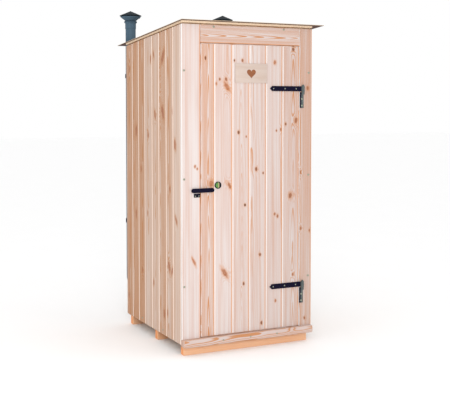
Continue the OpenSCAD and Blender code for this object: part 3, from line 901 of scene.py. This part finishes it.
# %% Posts and rails of the side walls
POST, RAIL_RISE = 0.045, 0.948
FRAME_NODES = ("frame_left", "frame_right")
frames = Bars()
for node in FRAME_NODES:
    low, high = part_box(node)
    top = high.z + fall * low.y         # where the slope's top would be at y = 0
    for y in (low.y, high.y - POST):
        frames.bar((low.x, y, low.z), (high.x, y + POST, top), 2, slope=(0, -fall))
    for z in (low.z, low.z + RAIL_RISE):
        frames.bar((low.x, low.y + POST, z), (high.x, high.y - POST, z + POST), 1)
    frames.bar((low.x, low.y + POST, top - POST), (high.x, high.y - POST, top), 1,
               slope=(0, -fall))
show("wall_frames", frames.mesh(TIMBER), "cabin", "frame_timber", *FRAME_NODES)

# %% Rails across, and the rafter
SLOPED = {"front_rail": 0, "rear_rail_top": 0, "rafter": 1}     # node: its long axis
LEVEL = ("rear_rail_bottom", "rear_rail_middle")
rails = Bars()
for node, along in SLOPED.items():
    low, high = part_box(node)
    top = high.z + fall * low.y
    rails.bar((low.x, low.y, top - POST), (high.x, high.y, top), along, slope=(0, -fall))
for node in LEVEL:
    rails.bar(*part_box(node), 0)
show("cross_rails", rails.mesh(TIMBER), "cabin", "frame_timber", *SLOPED, *LEVEL)

# %% [markdown]
# The door closes towards three strips, which lap behind its edges on both sides and above.

# %% The strips that the door closes towards
LAP = 0.012
stop_low, stop_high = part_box("door_stop")
inner_left, inner_right = leaf_low.x + LAP, leaf_high.x - LAP
strip_bottom = leaf_high.z - LAP
stops = Bars()
for x0, x1, z0, z1, along in (
        (stop_low.x, inner_left, stop_low.z, strip_bottom, 2),
        (inner_right, stop_high.x, stop_low.z, strip_bottom, 2),
        (stop_low.x, stop_high.x, strip_bottom, stop_high.z, 0)):
    stops.bar((x0, stop_low.y, z0), (x1, stop_high.y, z1), along, edge=0.001)
show("stop_strips", stops.mesh(TIMBER), "cabin", "frame_timber", "door_stop")

# %% [markdown]
# Two ledges and a slanted brace keep the leaf square. The brace is made upright, and its
# points are then shifted sideways with their height, which keeps its ends level.

# %% Ledges and brace on the door's inner face
HALF_BRACE = 0.04
battens = Bars()
for node in ("door_ledge_top", "door_ledge_bottom"):
    battens.bar(*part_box(node), 0, edge=0.004)
brace_low, brace_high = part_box("door_brace")
brace_rise = brace_high.z - brace_low.z
brace = Bars().bar((-HALF_BRACE, brace_low.y, 0), (HALF_BRACE, brace_high.y, brace_rise), 2,
                   edge=0.003)
run = (brace_high.x - brace_low.x - 2 * HALF_BRACE) / brace_rise
for v in brace.verts:
    v.x += brace_high.x - HALF_BRACE - run * v.z
    v.z += brace_low.z
show("door_battens", joined(battens.mesh(TIMBER), brace.mesh(TIMBER)), "door", "frame_timber",
     "door_ledge_top", "door_ledge_bottom", "door_brace")

# %% [markdown]
# The gap round the leaf would look like a black line. A real leaf of tongue-and-groove boards
# shows its tongues there, so thin strips stand out from the leaf's edges, behind its face, and
# still leave the door room to turn.

# %% Tongues round the leaf
TONGUE_OUT, TONGUE_IN, TONGUE_DEEP, TONGUE_T = 0.004, 0.002, 0.0035, 0.008
tongue_front = leaf_low.y + TONGUE_DEEP
tongue_rear = tongue_front + TONGUE_T
tongues = Bars()
for x0, x1 in ((leaf_low.x - TONGUE_OUT, leaf_low.x + TONGUE_IN),
               (leaf_high.x - TONGUE_IN, leaf_high.x + TONGUE_OUT)):
    tongues.bar((x0, tongue_front, leaf_low.z), (x1, tongue_rear, leaf_high.z), 2,
                edge=0.0008, tone=(0.6, 0.9))
for z0, z1 in ((leaf_low.z - TONGUE_OUT, leaf_low.z + TONGUE_IN),
               (leaf_high.z - TONGUE_IN, leaf_high.z + TONGUE_OUT)):
    tongues.bar((leaf_low.x, tongue_front, z0), (leaf_high.x, tongue_rear, z1), 0,
                edge=0.0008, tone=(0.6, 0.9))
show("leaf_tongues", tongues.mesh(FRONT), "door", "front_boards")

# %% [markdown]
# ## Metal and plastic finishes
# The hinges and the latch are black powder-coated steel, with a fine orange-peel surface and a
# little bare metal rubbed through. Where the knuckles turn on their pins the coat is gone, and
# their lighter grey there is also a painted highlight, so the distance from the hinge's axis
# says where the metal is bare and lit.

# %% Black powder coat, worn bare round the hinge pins, with a painted highlight there
hinge = next(joint for joint in frame["joints"] if joint["name"] == "door_hinge")
pin_x, pin_y = hinge["pos_m"][:2]


def coat():
    """Black powder coat with a cloudy tone, rubbed spots, and bare knuckles that also carry a
    painted highlight.
    """
    w, close = new_material("black powder coat")
    place = w.node("ShaderNodeTexCoord", out="Object")
    peel = place.noise(900.0, 2.0)
    rub = place.noise(70.0, 4.0, 0.65).step(0.66, 0.74) * place.noise(420.0, 2.0).step(0.45, 0.6)
    cloud = place.noise(25.0, 3.0)
    colour = cloud.mix(srgb(9, 7, 27), srgb(20, 17, 40))
    colour = (rub * 0.3).mix(colour, srgb(90, 88, 92))
    x, y, _ = place.parts()
    from_pin = w.vectors("LENGTH", w.vector(x - pin_x, y - pin_y, 0.0), out="Value")
    # The knuckles are worn bare where they turn, and their light grey also stands in for their
    # highlight: a painted highlight.
    bare_and_highlight = (1 - from_pin.step(0.0112, 0.0125)) * (0.35 + cloud * 0.5)
    colour = bare_and_highlight.mix(colour, srgb(112, 122, 118))
    bump = w.node("ShaderNodeBump", None,
                  {"Strength": 0.25, "Distance": 0.0003, "Height": peel}, "Normal")
    return close(Base_Color=colour, Roughness=0.5 + cloud * 0.2 - rub * 0.1, Normal=bump,
                 Specular_IOR_Level=0.06)


BLACK = coat()

# %% [markdown]
# The vents are slate grey sheet with faint upright runs. The caps' lids and every face that
# looks up get a painted shade, a darker colour, so a mask takes every face that looks up and
# everything from the lid's rim upwards.

# %% Slate grey sheet
LID = 0.038                 # from the cap's peak down to the rim's lower edge
rim_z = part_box("vent_cap_left")[1].z - LID


def slate():
    """Slate grey sheet with a painted shade on the lids and on faces that look up."""
    w, close = new_material("slate grey sheet")
    place = w.node("ShaderNodeTexCoord", out="Object")
    x, y, z = place.parts()
    runs = w.vector(x * 60, y * 60, z * 3).noise(1.0, 3.0)
    cloud = place.noise(9.0, 4.0, 0.6)
    speck = place.noise(600.0, 2.0)
    # Painted shade: faces that look up and everything above the lid's rim are darker.
    upward_painted_shade = w.node("ShaderNodeNewGeometry", out="True Normal").parts()[2].step(0.1, 0.6)
    lid_painted_shade = z.step(rim_z - 0.0005, rim_z + 0.0005)
    up = w.math("MAXIMUM", lid_painted_shade, upward_painted_shade)
    colour = (runs * 0.6 + cloud * 0.4).mix(srgb(52, 74, 90), srgb(90, 111, 126))
    colour = up.mix(colour, cloud.mix(srgb(10, 20, 27), srgb(24, 37, 45)))
    bump = w.node("ShaderNodeBump", None,
                  {"Strength": 0.12, "Distance": 0.0004, "Height": speck + runs}, "Normal")
    return close(Base_Color=colour, Roughness=0.5 + cloud * 0.2, Normal=bump,
                 Specular_IOR_Level=0.08)


SLATE = slate()

# %% [markdown]
# The screws are zinc-plated with a yellow-green tint: plain metal, a little cloudy.


# %% Zinc for the screws
def zinc():
    """Cloudy zinc plate."""
    w, close = new_material("zinc")
    place = w.node("ShaderNodeTexCoord", out="Object")
    cloud = place.noise(160.0, 3.0)
    colour = cloud.mix(srgb(122, 130, 116), srgb(186, 190, 170))
    return close(Base_Color=colour, Roughness=0.32 + cloud * 0.25, Metallic=0.85)


ZINC = zinc()

# %% [markdown]
# The roof sheet is a thin gritty sheet, dusty brown above with lighter runs down the slope,
# dark brown beneath, and pale where its edge was cut. The face's direction tells these apart.


# %% The roof sheet
def roof_finish():
    """A gritty sheet with a dusty top, a dark underside and a pale cut edge."""
    w, close = new_material("roof sheet")
    place = w.node("ShaderNodeTexCoord", out="Object")
    x, y, _ = place.parts()
    upward = w.node("ShaderNodeNewGeometry", out="Normal").parts()[2]
    on_top = upward.step(-0.2, 0.4)
    grit = place.noise(750.0, 3.0, 0.7)
    cloud = place.noise(3.2, 5.0, 0.6)
    runs = w.vector(x * 22, y * 1.4, 0.0).noise(1.0, 3.0)
    top = (cloud * 0.6 + grit * 0.4).mix(srgb(122, 106, 94), srgb(168, 150, 134))
    top = (runs.step(0.5, 0.8) * 0.35).mix(top, srgb(190, 176, 160))
    under = cloud.mix(srgb(78, 56, 50), srgb(100, 76, 68))
    on_rim = 1 - w.math("ABSOLUTE", upward).step(0.3, 0.6)
    rim = cloud.mix(srgb(170, 148, 126), srgb(196, 174, 148))
    colour = on_rim.mix(on_top.mix(under, top), rim)
    bump = w.node("ShaderNodeBump", None,
                  {"Strength": 0.35, "Distance": 0.0008, "Height": grit}, "Normal")
    return close(Base_Color=colour, Roughness=0.62 + grit * 0.25, Normal=bump,
                 Specular_IOR_Level=0.08)


ROOF = roof_finish()


# %% [markdown]
# Plywood shows its layers on the edges and one broad, wandering grain on the faces. The
# layers follow the sheet's slope, so their height is measured from the roof's plane.

# %% Plywood
PLY = 2.5                   # how many pairs of layers fit in a sheet


def plywood(name, pale, dark, depth_of, thick, face_axis, burnt_below=None):
    """Plywood: depth_of(x, y, z) gives the depth under the sheet's face, face_axis is the
    axis (1 Y or 2 Z) that its face looks along, and burnt_below the Y past which it is
    burnt."""
    w, close = new_material(name)
    x, y, z = w.node("ShaderNodeTexCoord", out="Object").parts()
    across = y if face_axis == 2 else z
    veins = w.vector(x * 3, across * 34, 0.0).noise(1.0, 3.0, 0.6, 0.4)
    fine = w.vector(x * 9, across * 420, 0.0).noise(1.0, 2.0)
    layer = w.math("FRACT", depth_of(x, y, z) / (thick / PLY)).step(0.45, 0.55)
    normal = w.node("ShaderNodeNewGeometry", out="Normal").parts()[face_axis]
    on_edge = 1 - w.math("ABSOLUTE", normal).step(0.4, 0.6)
    colour = (veins * 0.75 + (fine - 0.5) * 0.4).step(0.25, 0.8).mix(pale, dark)
    colour = on_edge.mix(colour, (layer * 0.7).mix(pale, darker(dark, 0.72)))
    if burnt_below is not None:
        burnt = y.step(burnt_below, burnt_below + 0.00015) * (1 - on_edge)
        colour = burnt.mix(colour, fine.mix(srgb(96, 52, 26), srgb(160, 96, 54)))
    bump = w.node("ShaderNodeBump", None,
                  {"Strength": 0.2, "Distance": 0.0004, "Height": fine + veins}, "Normal")
    return close(Base_Color=colour, Roughness=0.6 + fine * 0.1, Normal=bump)


DECK_T, HIGH_PLANE = 0.012, 4       # the plane is only there to keep the depth above zero
DECK = plywood("roof deck plywood", srgb(238, 211, 180), srgb(224, 190, 156),
               lambda x, y, z: z * -1 - y * fall + HIGH_PLANE, DECK_T, 2)

# %% [markdown]
# The roof's two sheets are flat plates, so the CAD shapes stay and only get their finishes.

# %% The roof keeps its CAD shapes
def dress(node, material):
    """Gives a CAD node a finished material."""
    for slot in frame["nodes"][node].material_slots:
        slot.material = material


dress("roof_sheet", ROOF)
dress("roof_deck", DECK)
print("dressed the roof")

# %% [markdown]
# ## Hardware
# The CAD shapes of the hinges, latch, indicator and vents are right, but real sheet metal has
# no razor edges. Each is copied, its loose triangles are merged, flat areas are joined into
# single faces, and a fine bevel catches the light along every edge.

# %% Soft edges on metalwork
FLAT_ANGLE, BEVEL_ANGLE, SMOOTH_ANGLE = (math.radians(a) for a in (0.5, 35, 40))
BROKEN_EDGE = 0.0006


def softened(node, width, material):
    """A copy of a CAD node with merged corners and, where width isn't 0, bevelled edges."""
    bm = bmesh.new()
    bm.from_mesh(frame["nodes"][node].data)
    bmesh.ops.remove_doubles(bm, verts=bm.verts, dist=1e-6)
    bmesh.ops.dissolve_limit(bm, angle_limit=FLAT_ANGLE, verts=bm.verts, edges=bm.edges)
    if width:
        sharp = [e for e in bm.edges
                 if len(e.link_faces) == 2 and e.calc_face_angle(0) > BEVEL_ANGLE]
        bmesh.ops.bevel(bm, geom=sharp, offset=width, segments=2, profile=0.5,
                        affect="EDGES", clamp_overlap=True)
    for face in bm.faces:
        face.smooth = True
    for e in bm.edges:
        e.smooth = len(e.link_faces) == 2 and e.calc_face_angle(0) < SMOOTH_ANGLE
    mesh = bpy.data.meshes.new(node)
    bm.to_mesh(mesh)
    bm.free()
    mesh.materials.clear()
    mesh.materials.append(material)
    return mesh


print(f"edges sharper than {math.degrees(BEVEL_ANGLE):.0f} degrees are broken")

# %% Hinges, latch, keeper and indicator ring
for place in ("upper", "lower"):
    show(f"strap_{place}", softened(f"hinge_strap_{place}", BROKEN_EDGE, BLACK), "door",
         "black_metal", f"hinge_strap_{place}")
    show(f"plate_{place}", softened(f"hinge_plate_{place}", 0.0005, BLACK), "cabin",
         "black_metal", f"hinge_plate_{place}")
for name, node, body in (("latch", "latch_bar", "latch"), ("latch_pin", "latch_pivot", "door"),
                         ("keeper", "latch_keeper", "cabin"),
                         ("dial_ring", "indicator_ring", "door"),
                         ("turn_bar", "indicator_turn", "indicator")):
    show(name, softened(node, BROKEN_EDGE, BLACK), body, "black_metal", node)

# %% [markdown]
# The indicator's disc shows green when the cabin is free. Its left half is green and its
# right half bare brass, split by an upright line, with a shallow shine and a dark far edge.
# The colours are bands of X on the disc at rest, and they turn with it.

# %% The banded disc
SEAM, DARK_FROM = 0.001, 0.008


def dial():
    """Green and brass halves, and a dark edge."""
    w, close = new_material("indicator face")
    place = w.node("ShaderNodeTexCoord", out="Object")
    low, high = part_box("indicator_disc")
    middle = (low.x + high.x) / 2
    x = place.parts()[0]
    half = x.step(middle - SEAM, middle)
    cloud = place.noise(300.0, 2.0)
    green = cloud.mix(srgb(62, 112, 42), srgb(84, 140, 58))
    brass = cloud.mix(srgb(150, 140, 98), srgb(190, 180, 134))
    on_edge = x.step(middle + DARK_FROM, middle + DARK_FROM + 2 * SEAM)
    colour = on_edge.mix(half.mix(green, brass), srgb(18, 40, 30))
    return close(Base_Color=colour, Roughness=0.28 + cloud * 0.15, Metallic=half * 0.6)


show("dial_face", softened("indicator_disc", 0.0004, dial()), "indicator", "indicator_face",
     "indicator_disc")

# %% [markdown]
# Each vent is a cap, a pipe down the rear wall and an elbow into the cabin, held by two black
# clamps. The sheet is rolled, so its edges need no bevel.

# %% Vents and their clamps
for side in ("left", "right"):
    for part in ("pipe", "elbow", "cap"):
        show(f"flue_{part}_{side}", softened(f"vent_{part}_{side}", 0, SLATE), "cabin",
             "vent_plastic", f"vent_{part}_{side}")
    for level in ("upper", "lower"):
        show(f"pipe_clamp_{side}_{level}",
             softened(f"vent_clamp_{side}_{level}", BROKEN_EDGE, BLACK), "cabin",
             "black_metal", f"vent_clamp_{side}_{level}")

# %% [markdown]
# ## The plate with the heart
# A thin plywood plate carries a burnt heart, the old sign for an outhouse. The heart is cut a
# fraction of a millimetre into the face, so the burn is real geometry, and the material turns
# dark below the face.

# %% The plate
BURN_DEPTH = 0.0003
plate_low, plate_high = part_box("name_plate")
PLATE = plywood("plate plywood", pigment(232, 211, 198, 1.56), pigment(216, 186, 166, 1.56),
                lambda x, y, z: y + 1, plate_high.y - plate_low.y, 1,
                plate_low.y + BURN_DEPTH)
plate_mesh = softened("name_plate", 0.0008, PLATE)
print("the plate has", len(plate_mesh.polygons), "faces before the heart is cut")

# %% The heart
HEART_SIZE, HEART_STEPS = 0.033, 64
HEART_PROUD, HEART_TOOL = 0.001, 0.0016     # the cutter starts before the face and ends in it


def heart_point(t):
    """A point of the heart curve, about 1 wide to each side."""
    return (math.sin(t) ** 3, (13 * math.cos(t) - 5 * math.cos(2 * t) - 2 * math.cos(3 * t)
                               - math.cos(4 * t)) / 16)


centre = (plate_low + plate_high) / 2
bm = bmesh.new()
outline = [heart_point(2 * math.pi * i / HEART_STEPS) for i in range(HEART_STEPS)]
face = bm.faces.new([bm.verts.new((centre.x + HEART_SIZE * a, plate_low.y - HEART_PROUD,
                                   centre.z + HEART_SIZE * b)) for a, b in outline])
made = bmesh.ops.extrude_face_region(bm, geom=[face])
for v in made["geom"]:
    if isinstance(v, bmesh.types.BMVert):
        v.co.y += HEART_TOOL
bmesh.ops.recalc_face_normals(bm, faces=bm.faces)
heart_tool = bpy.data.meshes.new("heart")
bm.to_mesh(heart_tool)
bm.free()
show("plate_with_heart", cut(plate_mesh, heart_tool), "door", "plywood", "name_plate")

# %% [markdown]
# ## Screws
# Dozens of screw heads repeat one shape, so Geometry Nodes set it on points. Each point
# carries the way that its screw faces, and a fixed seed turns every star recess its own way.

# %% One screw head
CORNERS = 12
DOME = ((1.0, 0.0), (0.97, 0.22), (0.72, 0.42), (0.44, 0.48))      # (radius, height)
LOBE, WAIST, RECESS = 0.42, 0.26, (0.47, 0.12)


def screw_head():
    """A domed head of radius 1 with a six-lobed recess, facing +Z."""
    around = [(math.cos(2 * math.pi * i / CORNERS), math.sin(2 * math.pi * i / CORNERS))
              for i in range(CORNERS)]
    verts = [(radius * c, radius * s, height) for radius, height in DOME for c, s in around]
    for height in RECESS:
        for i, (c, s) in enumerate(around):
            radius = LOBE if i % 2 else WAIST
            verts.append((radius * c, radius * s, height))
    rings, n = len(DOME) + len(RECESS), CORNERS
    faces = [(r * n + i, r * n + (i + 1) % n, r * n + n + (i + 1) % n, r * n + n + i)
             for r in range(rings - 1) for i in range(n)]
    faces += [tuple(range((rings - 1) * n, rings * n)), tuple(reversed(range(n)))]
    mesh = bpy.data.meshes.new("screw head")
    mesh.from_pydata(verts, [], faces)
    return bpy.data.objects.new("screw head", mesh)


print("a head has", CORNERS * (len(DOME) + len(RECESS)), "corners")

# %% The tree that sets them
SCREWS, w, given, SCREW_KEYS = new_tree("screws", {
    "Head": "Object", "Seed": "Int", "Material": "Material"})
head = w.node("GeometryNodeObjectInfo", None, {"Object": given["Head"]}, "Geometry")
turn = w.node("FunctionNodeRandomValue", {"data_type": "FLOAT"},
              {"Max": 1.0, "Seed": given["Seed"]}, 1)
aligned = w.node("FunctionNodeAlignRotationToVector", {"axis": "Z"}, {
    "Rotation": w.vector(0.0, 0.0, turn), "Vector": named(w, "facing")})
placed = w.node("GeometryNodeInstanceOnPoints", None, {
    "Points": given["Geometry"], "Instance": head, "Rotation": aligned,
    "Scale": named(w, "radius", "FLOAT")}, "Instances")
close_tree(w, placed, given["Material"])


def screws(name, body, slot, places, material, seed):
    """Screws on one body; places are (point, facing, radius)."""
    points = bpy.data.meshes.new("points")
    points.from_pydata([p for p, _, _ in places], [], [])
    write_attributes(points, {"facing": [f for _, f, _ in places],
                              "radius": [r for _, _, r in places]})
    head = screw_head()
    mesh = grown(points, SCREWS, SCREW_KEYS, {"Head": head, "Seed": seed, "Material": material})
    bpy.data.objects.remove(head)
    return show(name, mesh, body, slot)


# %% [markdown]
# The screws of the front boards stand at known places; the others are spread as a carpenter
# would, one for each board and rail. Every place is measured from a node's box.

# %% Screws of the front boards
OUT, BACK, LEFT, RIGHT = (0, -1, 0), (0, 1, 0), (-1, 0, 0), (1, 0, 0)
HEAD_R = 0.0072
STILE_SCREWS, HEADER_SCREWS, HEADER_Z = (1.838, 1.145, 0.454), (-0.2575, 0.2595), 2.121
cabin_screws = [((x, front_y, z), OUT, HEAD_R)
                for x in (left_x + 0.015, right_x - 0.026) for z in STILE_SCREWS]
cabin_screws += [((x, front_y, HEADER_Z), OUT, HEAD_R) for x in HEADER_SCREWS]
print(len(cabin_screws), "screws on the front boards")

# %% Screws of the walls and the sill
LOW_SCREW, REAR_SCREWS, SILL_SCREWS = 0.106, (0.135, 1.08, 2.0), (-0.2, 0.0, 0.2)
SEEN_LEFT, NEAR = (0.2225, -0.1975), 0.06       # only these left boards show a screw
side_edges = (wall_low.y, *LEFT_JOINTS, wall_high.y)
for y in [(a + b) / 2 for a, b in zip(side_edges, side_edges[1:])]:
    if any(abs(y - seen) < NEAR for seen in SEEN_LEFT):
        cabin_screws.append(((left_x, y, LOW_SCREW), LEFT, HEAD_R * 0.9))
    cabin_screws.append(((right_x, y, LOW_SCREW), RIGHT, HEAD_R * 0.9))
for x in [-(a + b) / 2 for a, b in zip(rear_joints, rear_joints[1:])]:
    cabin_screws += [((x, rear_y, z), BACK, HEAD_R * 0.9) for z in REAR_SCREWS]
sill_z = (sill_low.z + sill_high.z) / 2
cabin_screws += [((x, sill_low.y, sill_z), OUT, HEAD_R * 0.8) for x in SILL_SCREWS]
print(len(cabin_screws), "screws with the walls and the sill")

# %% Screws of the hinge plates and the keeper
PLATE_SCREWS, PLATE_SCREW_IN, PLATE_T = (0.061, 0.016), 0.016, 0.004
KEEPER_IN, KEEPER_UP, KEEPER_T, KEEPER_HEAD = 0.010, 0.009, 0.003, 0.0042
for place in ("upper", "lower"):
    low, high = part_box(f"hinge_plate_{place}")
    for up in PLATE_SCREWS:
        cabin_screws.append(((stile_right[0].x + PLATE_SCREW_IN, front_y - PLATE_T, low.z + up),
                             OUT, HEAD_R * 0.9))
keeper_low, keeper_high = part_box("latch_keeper")
for x in (keeper_low.x + KEEPER_IN, keeper_high.x - KEEPER_IN):
    cabin_screws.append(((x, front_y - KEEPER_T, keeper_low.z + KEEPER_UP), OUT, KEEPER_HEAD))
screws("cabin_screws", "cabin", "black_metal", cabin_screws, ZINC, 3)

# %% Screws on the door
STRAP_SCREWS, STRAP_T = (0.182, 0.2695, 0.3555), 0.005
LEDGE_IN, LEDGE_END = 0.025, 0.02
door_screws = []
for place in ("upper", "lower"):
    low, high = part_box(f"hinge_strap_{place}")
    door_screws += [((x, front_y - STRAP_T, (low.z + high.z) / 2), OUT, HEAD_R * 0.6)
                    for x in STRAP_SCREWS]
for node in ("door_ledge_top", "door_ledge_bottom"):
    low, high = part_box(node)
    for a, b in zip(door_edges, door_edges[1:]):
        x = min(max((a + b) / 2, low.x + LEDGE_END), high.x - LEDGE_END)
        for z in (low.z + LEDGE_IN, high.z - LEDGE_IN):
            door_screws.append(((x, high.y, z), BACK, HEAD_R * 0.8))
screws("door_screws", "door", "black_metal", door_screws, ZINC, 5)

# %% [markdown]
# ## Stage, light and camera
# A plain pale floor and soft white light from all round, with one large soft lamp from the front
# left, so that the front is a little brighter than the left wall, and the chamfers of the
# grooves that face left catch the light on top of their painted highlight. The floor is a large
# sheet, so no edge shows.

# %% Floor
bm = bmesh.new()
bmesh.ops.create_grid(bm, x_segments=2, y_segments=2, size=40)
floor_mesh = bpy.data.meshes.new("studio floor")
bm.to_mesh(floor_mesh)
bm.free()
w, close = new_material("studio floor")
place = w.node("ShaderNodeTexCoord", out="Object")
floor_mesh.materials.append(close(
    Base_Color=place.noise(2.0).mix(srgb(252, 252, 252), srgb(254, 254, 254)), Roughness=0.9,
    Specular_IOR_Level=0.1))
studio_floor = bpy.data.objects.new("studio_floor", floor_mesh)
bpy.context.scene.collection.objects.link(studio_floor)
print("the studio floor is part of the stage, not of the cabin")

# %% Light
KEY_PLACE, KEY_TARGET = Vector((-2.6, -5.6, 2.2)), Vector((0, 0, 1.1))
world = bpy.data.worlds.new("white studio")
bpy.context.scene.world = world
world.use_nodes = True
world.node_tree.nodes["Background"].inputs["Color"].default_value = (1, 1, 1, 1)
world.node_tree.nodes["Background"].inputs["Strength"].default_value = 1.0
key = bpy.data.lights.new("key", "AREA")
key.shape, key.size, key.energy = "DISK", 2.2, 150
key_lamp = bpy.data.objects.new("key", key)
key_lamp.location = KEY_PLACE
key_lamp.rotation_euler = (KEY_TARGET - KEY_PLACE).to_track_quat("-Z", "Y").to_euler()
bpy.context.scene.collection.objects.link(key_lamp)
print(f"the lamp stands {(KEY_TARGET - KEY_PLACE).length:.2f} m away")

# %% [markdown]
# The camera stands about six metres away at eye height and looks slightly down. Its shift
# moves the view without tilting the uprights any further.

# %% Camera
CAMERA_DOWN, CAMERA_TURN = 2.68, -26.08     # degrees
camera = bpy.data.objects.new("camera", bpy.data.cameras.new("camera"))
camera.location = (-2.7513, -5.7766, 1.6058)
camera.rotation_euler = (math.radians(90 - CAMERA_DOWN), 0, math.radians(CAMERA_TURN))
camera.data.lens = 72.14
camera.data.shift_y = -0.1127
bpy.context.scene.collection.objects.link(camera)
bpy.context.scene.camera = camera
bpy.context.scene.view_settings.view_transform = "Standard"
print("the camera's lens is", camera.data.lens, "mm")

# %% [markdown]
# Last, the view layer is brought up to date.

# %% The end
bpy.context.view_layer.update()
